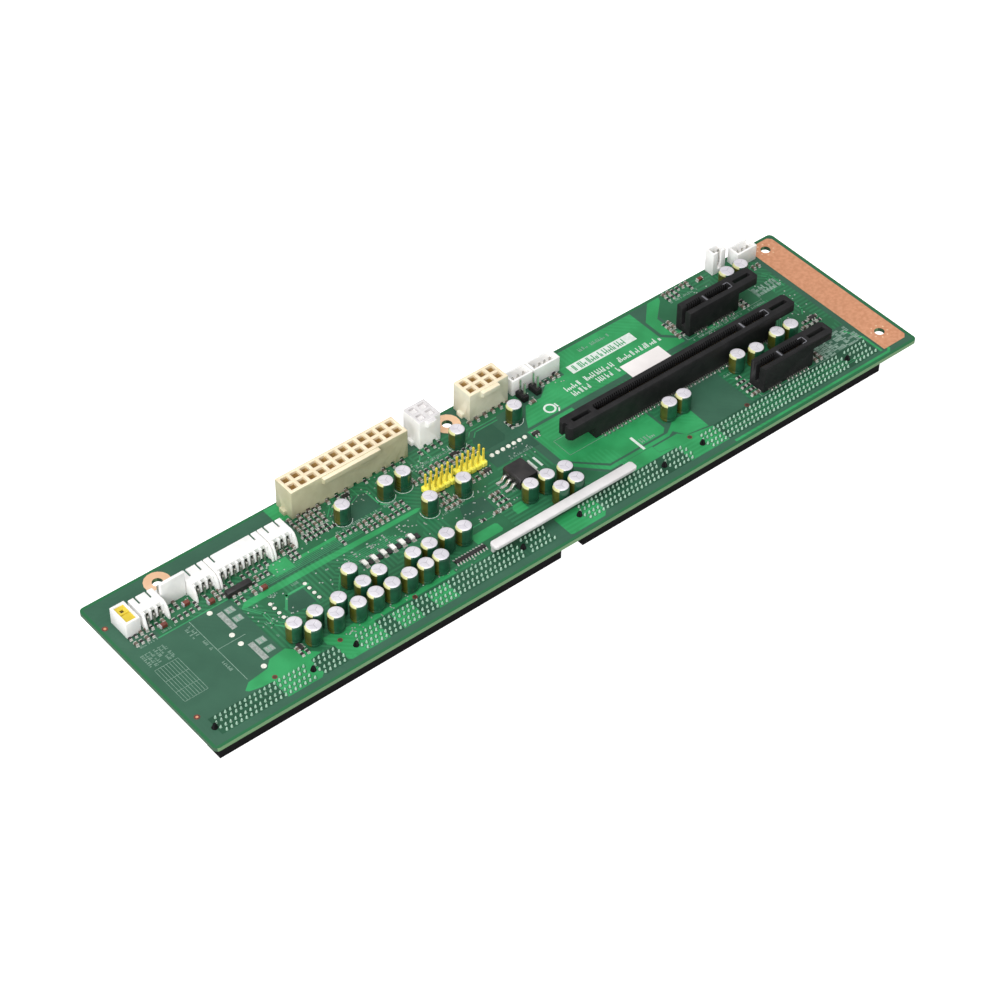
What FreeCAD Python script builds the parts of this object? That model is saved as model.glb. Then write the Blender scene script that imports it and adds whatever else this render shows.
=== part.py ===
import FreeCAD, Part
import math
import os

# Passive backplane board with host sockets under its front edge and card slots, power headers,
# wafers and capacitors on its top face. Millimetres. X runs along the board from its left end,
# Y from its front edge and Z from its underside, until the whole is moved to the end screws.

# Sides of the round pieces that are drawn as polygons to keep the whole light
ROUND_SIDES = 16

# Board
BOARD_THICKNESS = 1.6
BOARD_CORNER_R = 2.0
LEFT_MARGIN = 4.25
RIGHT_MARGIN = 14.5
REAR_MARGIN = 22.15
SCREW_HOLE_D = 3.96
SCREW_REAR_INSET = 6.2
SCREW_FRONT_INSET = 12.05
END_SCREW_INSET = 8.2
LEFT_SCREW_INSET = 28.65
REAR_SCREW_SPACING = 127.5
FOIL_THICKNESS = 0.07
RING_PAD_D = 10.0
STRIP_WIDTH = 12.2
STRIP_END_MARGIN = 1.7
STRIP_FRONT_MARGIN = 3.7
STRIP_REAR_MARGIN = 1.45
STRIP_CORNER = 1.5

# Edge-card sockets, above and below the board
CONTACT_PITCH = 1.0
CONTACT_WIDTH = 0.6
CONTACT_BOW = 0.35
CONTACT_LOW = 4.2
CONTACT_HIGH = 8.6
SEGMENT_ALLOWANCE = 0.65
KEY_SIDE_CONTACTS = 11
LONG_CONTACTS = 71
MEDIUM_CONTACTS = 38
SHORT_CONTACTS = 7
KEY_WIDTH = 1.7
SOCKET_END_WALL = 2.0
SOCKET_WIDTH = 7.5
SOCKET_HEIGHT = 11.25
SLIT_WIDTH = 1.8
SLIT_DEPTH = 8.2
LEAD_IN = 0.7
PEG_SIDES = 8
PEG_D = 2.15
PEG_HOLE_D = 2.4
PEG_STAND_OUT = 1.8
PEG_TIP_D = 1.0
FAR_PEG_INSET = 1.35
TAIL_INNER_ROW = 1.25
TAIL_OUTER_ROW = 3.25
TAIL_BASE = 0.9
TAIL_HEIGHT = 1.2

# Host sockets under the front edge, from the left end, with lower bodies than the slots
HOST_ROW_Y = 8.2
HOST_HEIGHT = 9.6
HOST_GAP_DC = 2.1
HOST_GAP_CB = 10.0
HOST_GAP_BA = 2.7

# Card slots on the top face
FRONT_SLOT_Y = 18.0
SLOT_PITCH = 20.32
SLOT_END_INSET = 41.3
GUIDE_LENGTH = 10.2
GUIDE_DEPTH = 3.2
GUIDE_END_WALL = 2.0
GUIDE_CORNER = 1.2
LATCH_GUIDE_LENGTH = 12.5
LATCH_GUIDE_DEPTH = 5.75
LATCH_GUIDE_END_WALL = 4.0
LATCH_GROOVE_WIDTH = 1.6
LATCH_GROOVE_DEPTH = 1.2

# Power headers along the rear edge
CELL_PITCH = 4.2
CELL_SIZE = 3.4
CELL_CORNER_CUT = 0.8
HEADER_END = 2.7
HEADER_HEIGHT = 12.8
HEADER_FLOOR = 2.4
HEADER_REAR_INSET = 6.0
HEADER_PIN_SIZE = 1.1
HEADER_PIN_TOP = 9.5
LATCH_REACH = 1.6
LATCH_TOP_DROP = 0.4
LATCH_THICKNESS = 3.0
LATCH_NOSE = 2.0
LUG_SIZE = 1.2
LUG_WIDTH = 3.0
LUG_HEIGHT = 2.0
MAIN_COLUMNS = 12
MAIN_X = 108.65
MAIN_LATCH = 25.0
AUX_COLUMNS = 4
AUX_X = 172.1
AUX_LATCH = 8.0
SQUARE_COLUMNS = 2
SQUARE_X = 144.65
SQUARE_LATCH = 4.0

# White side-entry wafers: mouth to the rear, bent pins and a wing past each end at the front
WAFER_PITCH = 2.5
WAFER_END = 2.45
WAFER_HEIGHT = 6.5
WAFER_BODY = 7.2
WAFER_DEPTH = 10.7
WAFER_WALL = 0.8
WAFER_BACK = 1.4
WAFER_SLIT_WIDTH = 0.8
WAFER_SLIT_LENGTH = 3.6
WAFER_SLIT_SHIFT = 0.2
WING_ANGLES = (90, 66, 42, 18)
WAFER_PIN_HEIGHT = 3.2
WAFER_PIN_REACH = 1.0
WAFER_PIN_SETBACK = 1.5
WAFER_MOUTH_INSET = 12.55
WAFER_GAP = 0.4
LEFT_WAFER_X = 17.55
LEFT_WAFER_PINS = 3
SENSOR_WAFER_X = 38.25
SENSOR_WAFER_PINS = 3
PANEL_WAFER_PINS = 8
END_WAFER_PINS = 3
WIRE_PIN_SIZE = 0.64

# White box headers, closed on four sides
BOX_END = 2.45
BOX_DEPTH = 5.75
BOX_HEIGHT = 7.0
BOX_WALL = 0.85
BOX_FLOOR = 2.0
BOX_PIN_DROP = 1.0
SIDE_BOX_X = 8.5
SIDE_BOX_REAR_INSET = 16.95
SIDE_BOX_PINS = 3
INSERT_CLEARANCE = 0.05
INSERT_TOP_DROP = 0.6
INSERT_SLOT = 0.5
REAR_BOX_INSET = 6.85
ALARM_BOX_X = 189.1
ALARM_BOX_PINS = 3
BUS_BOX_PINS = 4
CORNER_BOX_INSET = 19.95
CORNER_BOX_REAR_INSET = 4.95
CORNER_BOX_PINS = 3
SPEAKER_BOX_INSET = 31.95
SPEAKER_BOX_REAR_INSET = 2.55
SPEAKER_BOX_PINS = 2
SPEAKER_BOX_END = 1.95
SPEAKER_BOX_DEPTH = 4.6
SPEAKER_BOX_HEIGHT = 10.4
SPEAKER_SLOT_WIDTH = 1.6

# Fan header: a base with a tall plain wall to the front
FAN_X = 28.0
FAN_REAR_INSET = 17.35
FAN_PINS = 4
FAN_END = 1.15
FAN_DEPTH = 5.8
FAN_BASE_HEIGHT = 3.2
FAN_WALL = 1.2
FAN_WALL_HEIGHT = 11.0
FAN_PIN_SETBACK = 3.6
FAN_PIN_TOP = 7.2

# Pin headers
PIN_PITCH = 2.54
PIN_BASE_HEIGHT = 2.54
PIN_TOP = 8.4
SETUP_ROW_REAR_INSET = 30.25
SETUP_COLUMNS = 5
SETUP_LEFT_X = 133.1
SETUP_SPACING = 14.35
JUMPER_X = 186.25
JUMPER_SPACING = 6.2
JUMPER_REAR_INSET = 12.75

# Capacitors: X and Y of each, from the left end or the slots' end, and the front or rear edge
CAP_D = 6.3
CAP_HEIGHT = 8.0
FRONT_CAPS = {
    18.6: (53.85, 63.35),
    17.8: (72.25, 79.65, 86.75, 94.15, 101.35, 107.95, 162.15, 169.15),
    23.8: (49.65, 58.45, 68.35, 122.95),
    24.7: (79.45, 101.15, 108.35, 115.95, 169.85),
    25.5: (87.05, 154.55, 162.05),
    32.4: (79.45,),
}
REAR_CAPS = {
    37.95: (122.95, 138.05),
    21.95: (96.45, 115.65, 123.45),
    17.15: (151.95,),
    19.95: (176.35,),
}
SLOT_CAPS = {
    26.6: (54.0, 61.0),
    30.3: (-3.5, 3.6, 23.7),
    28.6: (15.8,),
    68.0: (-12.9, -5.8),
}

# Regulator lying flat on its tab
REGULATOR_X = 158.55
REGULATOR_Y = 35.9
REGULATOR_LENGTH = 8.4
REGULATOR_WIDTH = 9.6
REGULATOR_HEIGHT = 4.4
REGULATOR_CHAMFER = 0.7
TAB_THICKNESS = 1.3
TAB_REACH = 2.6
TAB_SIDE_MARGIN = 1.2
LEAD_PITCH = 2.54
LEAD_WIDTH = 1.2
LEAD_THICKNESS = 0.6
LEAD_HEIGHT = 1.6
LEAD_RUN = 2.0
LEAD_FOOT = 2.6

# Stiffener bar that bridges the front row of tails on two legs
BAR_LEFT_X = 126.25
BAR_LENGTH = 65.5
BAR_Y = 12.2
BAR_WIDTH = 4.0
BAR_THICKNESS = 1.6
BAR_TOP = 5.0
BAR_CORNER = 0.8
BAR_LEG_WIDTH = 1.4

# Small surface parts
ARRAY_X = 47.85
ARRAY_REAR_INSET = 27.05
ARRAY_SIZE = (10.2, 2.5, 2.4)
TANTALUM_SIZE = (3.2, 1.7, 1.6)
TANTALUMS = ((18.25, 24.85), (30.05, 21.15), (37.25, 25.85), (55.05, 31.85))
DIODE_FIRST_X = 89.35
DIODE_PITCH = 4.08
DIODE_COUNT = 6
DIODE_Y = 36.7
DIODE_SIZE = (1.7, 3.4, 1.1)


def segment(contacts):
    """Length of the slit over a run of contacts."""
    return contacts * CONTACT_PITCH + SEGMENT_ALLOWANCE


def socket_length(far_contacts):
    """Length of a socket's body: two end walls, the key and the slits either side of it."""
    return 2 * SOCKET_END_WALL + segment(KEY_SIDE_CONTACTS) + KEY_WIDTH + segment(far_contacts)


# The sockets set the board's length, and the slots' pitch sets its width.
LONG_SOCKET = socket_length(LONG_CONTACTS)
MEDIUM_SOCKET = socket_length(MEDIUM_CONTACTS)
HOST_D_END = LEFT_MARGIN + MEDIUM_SOCKET
HOST_C_END = HOST_D_END + HOST_GAP_DC + LONG_SOCKET
HOST_B_END = HOST_C_END + HOST_GAP_CB + MEDIUM_SOCKET
HOST_A_END = HOST_B_END + HOST_GAP_BA + LONG_SOCKET
BOARD_LENGTH = HOST_A_END + RIGHT_MARGIN
BOARD_WIDTH = FRONT_SLOT_Y + 2 * SLOT_PITCH + REAR_MARGIN
TOP = BOARD_THICKNESS
KEY_FROM_END = SOCKET_END_WALL + segment(KEY_SIDE_CONTACTS) + KEY_WIDTH / 2
SLOT_END_X = BOARD_LENGTH - SLOT_END_INSET
HEADER_Y = BOARD_WIDTH - HEADER_REAR_INSET

SOCKETS = {
    "host_socket_a": (LONG_CONTACTS, HOST_A_END, HOST_ROW_Y),
    "host_socket_b": (MEDIUM_CONTACTS, HOST_B_END, HOST_ROW_Y),
    "host_socket_c": (LONG_CONTACTS, HOST_C_END, HOST_ROW_Y),
    "host_socket_d": (MEDIUM_CONTACTS, HOST_D_END, HOST_ROW_Y),
    "front_card_slot": (SHORT_CONTACTS, SLOT_END_X, FRONT_SLOT_Y),
    "long_card_slot": (LONG_CONTACTS, SLOT_END_X, FRONT_SLOT_Y + SLOT_PITCH),
    "rear_card_slot": (SHORT_CONTACTS, SLOT_END_X, FRONT_SLOT_Y + 2 * SLOT_PITCH),
}
END_SCREW_X = BOARD_LENGTH - END_SCREW_INSET
REAR_SCREW_Y = BOARD_WIDTH - SCREW_REAR_INSET
END_SCREWS = ((END_SCREW_X, SCREW_FRONT_INSET), (END_SCREW_X, REAR_SCREW_Y))
RING_SCREWS = ((LEFT_SCREW_INSET, REAR_SCREW_Y), (LEFT_SCREW_INSET + REAR_SCREW_SPACING, REAR_SCREW_Y))
ORIGIN = FreeCAD.Vector(END_SCREW_X, (SCREW_FRONT_INSET + REAR_SCREW_Y) / 2, 0)


def block(x, y, z):
    """Box between the low and high limits of each axis."""
    size = [high - low for low, high in (x, y, z)]
    return Part.makeBox(*size, FreeCAD.Vector(x[0], y[0], z[0]))


def about(centre, size):
    """Low and high limits of a size centred on a place."""
    return centre - size / 2, centre + size / 2


def rod(x, y, z, diameter):
    return Part.makeCylinder(diameter / 2, z[1] - z[0], FreeCAD.Vector(x, y, z[0]))


def prism(points, along):
    """Solid swept from a closed outline by a vector."""
    corners = [FreeCAD.Vector(*p) for p in points]
    return Part.Face(Part.makePolygon(corners + corners[:1])).extrude(FreeCAD.Vector(*along))


def rim(x, y, z, across, sides):
    """Corners of a level regular polygon, sized across its flats."""
    radius = across / 2 / math.cos(math.pi / sides)
    angles = [math.pi * (2 * i + 1) / sides for i in range(sides)]
    return [(x + radius * math.cos(a), y + radius * math.sin(a), z) for a in angles]


def polygon(x, y, z, across, sides):
    """Upright prism of a regular polygon."""
    return prism(rim(x, y, z[0], across, sides), (0, 0, z[1] - z[0]))


def solid_of(outlines):
    """Solid closed by flat faces."""
    faces = []
    for outline in outlines:
        corners = [FreeCAD.Vector(*p) for p in outline]
        faces.append(Part.Face(Part.makePolygon(corners + corners[:1])))
    solid = Part.makeSolid(Part.makeShell(faces))
    if solid.Volume < 0:
        solid.reverse()
    return solid


def sliver(foot, tip):
    """Solid with three corners at its foot and one at its tip."""
    sides = [(foot[i], foot[(i + 1) % 3], tip) for i in range(3)]
    return solid_of(sides + [foot[::-1]])


def taper(low, high):
    """Solid between two like rims."""
    count = len(low)
    sides = []
    for i in range(count):
        following = (i + 1) % count
        sides.append((low[i], low[following], high[following], high[i]))
    return solid_of(sides + [low[::-1], high])


def moved(shape, x, y, z=0.0):
    copy = shape.copy()
    copy.translate(FreeCAD.Vector(x, y, z))
    return copy


def upright_edges(shape):
    """Edges that run along Z."""
    return [e for e in shape.Edges if abs(e.tangentAt(e.FirstParameter).z) > 0.99]


def cut_corners(shape, x, size):
    """Chamfers a block's two upright edges at one place along X."""
    return shape.makeChamfer(size, [e for e in upright_edges(shape) if abs(e.CenterOfMass.x - x) < 0.001])


def board():
    """Bare board with rounded corners, screw holes and the sockets' peg holes."""
    plate = block((0, BOARD_LENGTH), (0, BOARD_WIDTH), (0, BOARD_THICKNESS))
    plate = plate.makeFillet(BOARD_CORNER_R, upright_edges(plate))
    through = (0, BOARD_THICKNESS)
    holes = [rod(x, y, through, SCREW_HOLE_D) for x, y in END_SCREWS + RING_SCREWS]
    for contacts, end_x, row_y in SOCKETS.values():
        holes += [polygon(end_x + x, row_y, through, PEG_HOLE_D, PEG_SIDES) for x in peg_places(contacts)]
    return plate.cut(Part.makeCompound(holes))


def ground_strip():
    """Bare copper strip at the right end, with cut corners, pierced by the end screws."""
    right = BOARD_LENGTH - STRIP_END_MARGIN
    span_y = (STRIP_FRONT_MARGIN, BOARD_WIDTH - STRIP_REAR_MARGIN)
    on_top = (TOP, TOP + FOIL_THICKNESS)
    foil = cut_corners(block((right - STRIP_WIDTH, right), span_y, on_top), right, STRIP_CORNER)
    holes = [polygon(x, y, on_top, SCREW_HOLE_D, ROUND_SIDES) for x, y in END_SCREWS]
    return foil.cut(Part.makeCompound(holes))


def ring_pads():
    """Bare copper rings round the two rear screws."""
    on_top = (TOP, TOP + FOIL_THICKNESS)
    rings = []
    for x, y in RING_SCREWS:
        ring = polygon(x, y, on_top, RING_PAD_D, ROUND_SIDES)
        rings.append(ring.cut(polygon(x, y, on_top, SCREW_HOLE_D, ROUND_SIDES)))
    return Part.makeCompound(rings)


def peg_places(far_contacts):
    """X of a socket's two pegs, from its key-side end."""
    return -KEY_FROM_END, FAR_PEG_INSET - socket_length(far_contacts)


def slit(x, height):
    """Card slit with a sloping lead-in, between two places along X, down from a height."""
    half = SLIT_WIDTH / 2
    mouth = half + LEAD_IN
    floor = height - SLIT_DEPTH
    shoulder = height - LEAD_IN
    outline = [(-half, floor), (half, floor), (half, shoulder), (mouth, height),
               (-mouth, height), (-half, shoulder)]
    return prism([(x[0], y, z) for y, z in outline], (x[1] - x[0], 0, 0))


def slit_spans(far_contacts):
    """The key-side slit and the far slit, from the key-side end."""
    near = -SOCKET_END_WALL
    key = near - segment(KEY_SIDE_CONTACTS)
    far = key - KEY_WIDTH
    return (key, near), (far - segment(far_contacts), far)


def peg(x):
    """Many-sided peg below a socket, tapered where it stands out of the board."""
    shank = polygon(x, 0, (-BOARD_THICKNESS, 0), PEG_D, PEG_SIDES)
    root = rim(x, 0, -BOARD_THICKNESS, PEG_D, PEG_SIDES)
    point = rim(x, 0, -BOARD_THICKNESS - PEG_STAND_OUT, PEG_TIP_D, PEG_SIDES)
    return shank.fuse(taper(point, root))


def socket(far_contacts, height=SOCKET_HEIGHT, open_end=False):
    """Edge-card socket with its seat at Z = 0, its key-side end at X = 0 and two pegs below."""
    length = socket_length(far_contacts)
    width = about(0, SOCKET_WIDTH)
    body = block((-length, 0), width, (0, height))
    near_slit, far_slit = slit_spans(far_contacts)
    if open_end:
        far_slit = (-length, far_slit[1])
    body = body.cut(Part.makeCompound([slit(near_slit, height), slit(far_slit, height)]))
    return body.fuse([peg(x) for x in peg_places(far_contacts)]).removeSplitter()


def host_socket(name):
    """Socket turned over, so that its mouth looks down and its pegs stand up through the board."""
    contacts, end_x, row_y = SOCKETS[name]
    body = socket(contacts, HOST_HEIGHT)
    body.rotate(FreeCAD.Vector(0, 0, 0), FreeCAD.Vector(1, 0, 0), 180)
    return moved(body, end_x, row_y)


def card_guide(x, depth, opening, tip):
    """Overhanging end of a slot, cut at its tip's corners, with a card opening right through it."""
    span_z = (SOCKET_HEIGHT - depth, SOCKET_HEIGHT)
    guide = cut_corners(block(x, about(0, SOCKET_WIDTH), span_z), tip, GUIDE_CORNER)
    return guide.cut(block(opening, about(0, SLIT_WIDTH), span_z))


def card_slot(name, latch_end=False):
    """Slot with a guide past its key-side end and, on the long one, a latch end past the far end."""
    contacts, end_x, row_y = SOCKETS[name]
    body = socket(contacts, open_end=not latch_end)
    opening = (0, GUIDE_LENGTH - GUIDE_END_WALL)
    guides = [card_guide((0, GUIDE_LENGTH), GUIDE_DEPTH, opening, GUIDE_LENGTH)]
    if latch_end:
        start = -socket_length(contacts)
        tip = start - LATCH_GUIDE_LENGTH
        guide = card_guide((tip, start), LATCH_GUIDE_DEPTH, (tip + LATCH_GUIDE_END_WALL, start), tip)
        groove = block((tip, tip + LATCH_GROOVE_DEPTH), about(0, LATCH_GROOVE_WIDTH),
                       (SOCKET_HEIGHT - LATCH_GUIDE_DEPTH, SOCKET_HEIGHT))
        guides.append(guide.cut(groove))
    return moved(body.fuse(guides).removeSplitter(), end_x, row_y, TOP)


def contact_places(far_contacts):
    """X of each contact in a row, from the key-side end."""
    places = []
    for low, high in slit_spans(far_contacts):
        count = round((high - low - SEGMENT_ALLOWANCE) / CONTACT_PITCH)
        first = (low + high) / 2 + (count - 1) * CONTACT_PITCH / 2
        places += [first - i * CONTACT_PITCH for i in range(count)]
    return places


def slot_contacts(name):
    """Bowed spring contacts on both walls of a slot's slit."""
    contacts, end_x, row_y = SOCKETS[name]
    wall = SLIT_WIDTH / 2
    bow_z = (CONTACT_LOW + CONTACT_HIGH) / 2
    half = CONTACT_WIDTH / 2
    springs = []
    for side in (1, -1):
        face = side * wall
        foot = [(-half, face, CONTACT_HIGH), (half, face, CONTACT_HIGH), (0, face, CONTACT_LOW)]
        spring = sliver(foot, (0, side * (wall - CONTACT_BOW), bow_z))
        springs += [moved(spring, end_x + x, row_y, TOP) for x in contact_places(contacts)]
    return Part.makeCompound(springs)


def host_tails(name):
    """Soldered ends of a host socket's contacts, in four staggered rows on the top face."""
    contacts, end_x, row_y = SOCKETS[name]
    half = TAIL_BASE / 2
    point = sliver([(-half, -half, 0), (half, -half, 0), (0, half, 0)], (0, 0, TAIL_HEIGHT))
    tails = []
    for i, x in enumerate(reversed(contact_places(contacts))):
        row = TAIL_OUTER_ROW if i % 2 else TAIL_INNER_ROW
        tails += [moved(point, end_x + x, row_y + side * row, TOP) for side in (1, -1)]
    return Part.makeCompound(tails)


def cell_places(columns):
    """Column, row, X and Y of each cell of a power header, from its centre."""
    for column in range(columns):
        for row in range(2):
            x = (column - (columns - 1) / 2) * CELL_PITCH
            y = (row - 0.5) * CELL_PITCH
            yield column, row, x, y


def cell(column, row, x, y):
    """Socket cell: square, or with its two outer corners cut, turn and turn about."""
    half = CELL_SIZE / 2
    side = 1 if row else -1
    cut = CELL_CORNER_CUT
    outline = [(-half, -half), (half, -half), (half, half), (-half, half)]
    if (column + row) % 2:
        outline = [(-half, -half), (half, -half), (half, half - cut), (half - cut, half),
                   (cut - half, half), (-half, half - cut)]
    points = [(x + u, y + side * v, HEADER_FLOOR) for u, v in outline]
    return prism(points, (0, 0, HEADER_HEIGHT - HEADER_FLOOR))


def power_header(columns, centre_x, latch_length):
    """Two-row power header with a latch ledge on its front face and a lug at each end."""
    length = (columns - 1) * CELL_PITCH + 2 * HEADER_END
    depth = CELL_PITCH + 2 * HEADER_END
    body = block(about(0, length), about(0, depth), (0, HEADER_HEIGHT))
    ledge_top = HEADER_HEIGHT - LATCH_TOP_DROP
    front = -depth / 2
    ledge = prism([(-latch_length / 2, front, ledge_top - LATCH_THICKNESS),
                   (-latch_length / 2, front - LATCH_REACH, ledge_top - LATCH_NOSE),
                   (-latch_length / 2, front - LATCH_REACH, ledge_top),
                   (-latch_length / 2, front, ledge_top)], (latch_length, 0, 0))
    lugs = [block(about(side * (length + LUG_SIZE) / 2, LUG_SIZE), about(0, LUG_WIDTH), (0, LUG_HEIGHT))
            for side in (1, -1)]
    body = body.fuse([ledge] + lugs).removeSplitter()
    body = body.cut(Part.makeCompound([cell(*place) for place in cell_places(columns)]))
    return moved(body, centre_x, HEADER_Y, TOP)


def power_pins(columns, centre_x):
    """One square pin in each cell of a power header."""
    pin = block(about(0, HEADER_PIN_SIZE), about(0, HEADER_PIN_SIZE), (HEADER_FLOOR, HEADER_PIN_TOP))
    pins = [moved(pin, centre_x + x, HEADER_Y + y, TOP) for _, _, x, y in cell_places(columns)]
    return Part.makeCompound(pins)


def wafer_length(pins):
    return (pins - 1) * WAFER_PITCH + 2 * WAFER_END


def wing(x):
    """Rounded end wall that shields the bent pins, with the mouth's plane at Y = 0."""
    reach = WAFER_DEPTH - WAFER_BODY
    curve = []
    for angle in WING_ANGLES:
        turn = math.radians(angle)
        curve.append((-WAFER_BODY - reach * math.cos(turn), WAFER_HEIGHT * math.sin(turn)))
    outline = [(-WAFER_BODY, 0)] + curve + [(-WAFER_DEPTH, 0)]
    return prism([(x[0], y, z) for y, z in outline], (x[1] - x[0], 0, 0))


def side_wafer(pins):
    """Wafer lying on its side: open to the rear, two slits in its roof, a wing at each end."""
    half = wafer_length(pins) / 2
    body = block((-half, half), (-WAFER_BODY, 0), (0, WAFER_HEIGHT))
    wings = [wing((-half, WAFER_WALL - half)), wing((half - WAFER_WALL, half))]
    body = body.fuse(wings).removeSplitter()
    mouth = block((WAFER_WALL - half, half - WAFER_WALL), (WAFER_BACK - WAFER_BODY, 0),
                  (WAFER_WALL, WAFER_HEIGHT - WAFER_WALL))
    slit_x = (pins - 1) * WAFER_PITCH / 2 - WAFER_SLIT_SHIFT
    slits = [block(about(side * slit_x, WAFER_SLIT_WIDTH), (-WAFER_SLIT_LENGTH, 0),
                   (WAFER_HEIGHT - WAFER_WALL, WAFER_HEIGHT)) for side in (1, -1)]
    pin_holes = [block(about(x, WIRE_PIN_SIZE), (-WAFER_BODY, WAFER_BACK - WAFER_BODY),
                       about(WAFER_PIN_HEIGHT, WIRE_PIN_SIZE)) for x in row_places(pins)]
    return body.cut(Part.makeCompound([mouth] + slits + pin_holes))


def row_places(pins, pitch=WAFER_PITCH):
    """X of each pin in a row about its centre."""
    return [(i - (pins - 1) / 2) * pitch for i in range(pins)]


def bent_pin():
    """Pin that runs out of a side-entry wafer's mouth and turns down to the board in front."""
    half = WIRE_PIN_SIZE / 2
    bend = -WAFER_BODY - WAFER_PIN_REACH
    high = WAFER_PIN_HEIGHT + half
    low = WAFER_PIN_HEIGHT - half
    outline = [(-WAFER_PIN_SETBACK, high), (bend - half, high), (bend - half, 0), (bend + half, 0),
               (bend + half, low), (-WAFER_PIN_SETBACK, low)]
    return prism([(-half, y, z) for y, z in outline], (WIRE_PIN_SIZE, 0, 0))


def straight_pin(floor, top):
    return block(about(0, WIRE_PIN_SIZE), about(0, WIRE_PIN_SIZE), (floor, top))


def next_x(x, length, next_length):
    """Centre of the wafer or header that stands beside another one."""
    return x + length / 2 + WAFER_GAP + next_length / 2


MOUTH_Y = BOARD_WIDTH - WAFER_MOUTH_INSET
PANEL_WAFER_X = next_x(SENSOR_WAFER_X, wafer_length(SENSOR_WAFER_PINS), wafer_length(PANEL_WAFER_PINS))
END_WAFER_X = next_x(PANEL_WAFER_X, wafer_length(PANEL_WAFER_PINS), wafer_length(END_WAFER_PINS))
WAFERS = {
    "left_wafer": (LEFT_WAFER_PINS, LEFT_WAFER_X),
    "sensor_wafer": (SENSOR_WAFER_PINS, SENSOR_WAFER_X),
    "panel_wafer": (PANEL_WAFER_PINS, PANEL_WAFER_X),
    "end_wafer": (END_WAFER_PINS, END_WAFER_X),
}


def wafer_pins():
    """Bent pins of all the side-entry wafers."""
    pin = bent_pin()
    places = [centre + x for pins, centre in WAFERS.values() for x in row_places(pins)]
    return Part.makeCompound([moved(pin, x, MOUTH_Y, TOP) for x in places])


def box_length(pins, end=BOX_END):
    return (pins - 1) * WAFER_PITCH + 2 * end


def box_header(length, depth=BOX_DEPTH, height=BOX_HEIGHT, slot_width=0.0):
    """Box with four walls and an open top, along X, with an optional slot down its front wall."""
    body = block(about(0, length), about(0, depth), (0, height))
    hollow = (BOX_FLOOR, height)
    body = body.cut(block(about(0, length - 2 * BOX_WALL), about(0, depth - 2 * BOX_WALL), hollow))
    if slot_width:
        body = body.cut(block(about(0, slot_width), (-depth / 2, BOX_WALL - depth / 2), hollow))
    return body


def side_box_place(shape):
    """Turn a box header across the board and set it at the left end."""
    shape.rotate(FreeCAD.Vector(0, 0, 0), FreeCAD.Vector(0, 0, 1), 90)
    return moved(shape, SIDE_BOX_X, BOARD_WIDTH - SIDE_BOX_REAR_INSET, TOP)


def side_insert():
    """Yellow keyed block that fills the side box, parted by a slot across its top."""
    length = box_length(SIDE_BOX_PINS) - 2 * (BOX_WALL + INSERT_CLEARANCE)
    depth = BOX_DEPTH - 2 * (BOX_WALL + INSERT_CLEARANCE)
    top = BOX_HEIGHT - INSERT_TOP_DROP
    body = block(about(0, length), about(0, depth), (BOX_FLOOR, top))
    slot = block(about(0, INSERT_SLOT), about(0, depth), ((BOX_FLOOR + top) / 2, top))
    return side_box_place(body.cut(slot))


REAR_BOX_Y = BOARD_WIDTH - REAR_BOX_INSET
BUS_BOX_X = next_x(ALARM_BOX_X, box_length(ALARM_BOX_PINS), box_length(BUS_BOX_PINS))
BOXES = {
    "alarm_box": (ALARM_BOX_PINS, ALARM_BOX_X, REAR_BOX_Y),
    "bus_box": (BUS_BOX_PINS, BUS_BOX_X, REAR_BOX_Y),
    "corner_box": (CORNER_BOX_PINS, BOARD_LENGTH - CORNER_BOX_INSET, BOARD_WIDTH - CORNER_BOX_REAR_INSET),
}
SPEAKER_BOX_X = BOARD_LENGTH - SPEAKER_BOX_INSET
SPEAKER_BOX_Y = BOARD_WIDTH - SPEAKER_BOX_REAR_INSET


def speaker_box():
    body = box_header(box_length(SPEAKER_BOX_PINS, SPEAKER_BOX_END), SPEAKER_BOX_DEPTH,
                      SPEAKER_BOX_HEIGHT, SPEAKER_SLOT_WIDTH)
    return moved(body, SPEAKER_BOX_X, SPEAKER_BOX_Y, TOP)


def box_pins():
    """Straight pins of the box headers that hold no insert."""
    low_pin = straight_pin(BOX_FLOOR, BOX_HEIGHT - BOX_PIN_DROP)
    tall_pin = straight_pin(BOX_FLOOR, SPEAKER_BOX_HEIGHT - BOX_PIN_DROP)
    pins = [moved(low_pin, x + u, y, TOP) for count, x, y in BOXES.values() for u in row_places(count)]
    pins += [moved(tall_pin, SPEAKER_BOX_X + u, SPEAKER_BOX_Y, TOP) for u in row_places(SPEAKER_BOX_PINS)]
    return Part.makeCompound(pins)


FAN_FRONT_Y = BOARD_WIDTH - FAN_REAR_INSET


def fan_header():
    """Base block with a tall wall along its front."""
    half = (FAN_PINS - 1) * PIN_PITCH / 2 + FAN_END
    outline = [(0, 0), (FAN_DEPTH, 0), (FAN_DEPTH, FAN_BASE_HEIGHT), (FAN_WALL, FAN_BASE_HEIGHT),
               (FAN_WALL, FAN_WALL_HEIGHT), (0, FAN_WALL_HEIGHT)]
    return moved(prism([(-half, y, z) for y, z in outline], (2 * half, 0, 0)), FAN_X, FAN_FRONT_Y, TOP)


def fan_pins():
    pin = straight_pin(FAN_BASE_HEIGHT, FAN_PIN_TOP)
    row_y = FAN_FRONT_Y + FAN_PIN_SETBACK
    return Part.makeCompound([moved(pin, FAN_X + x, row_y, TOP) for x in row_places(FAN_PINS, PIN_PITCH)])


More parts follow.
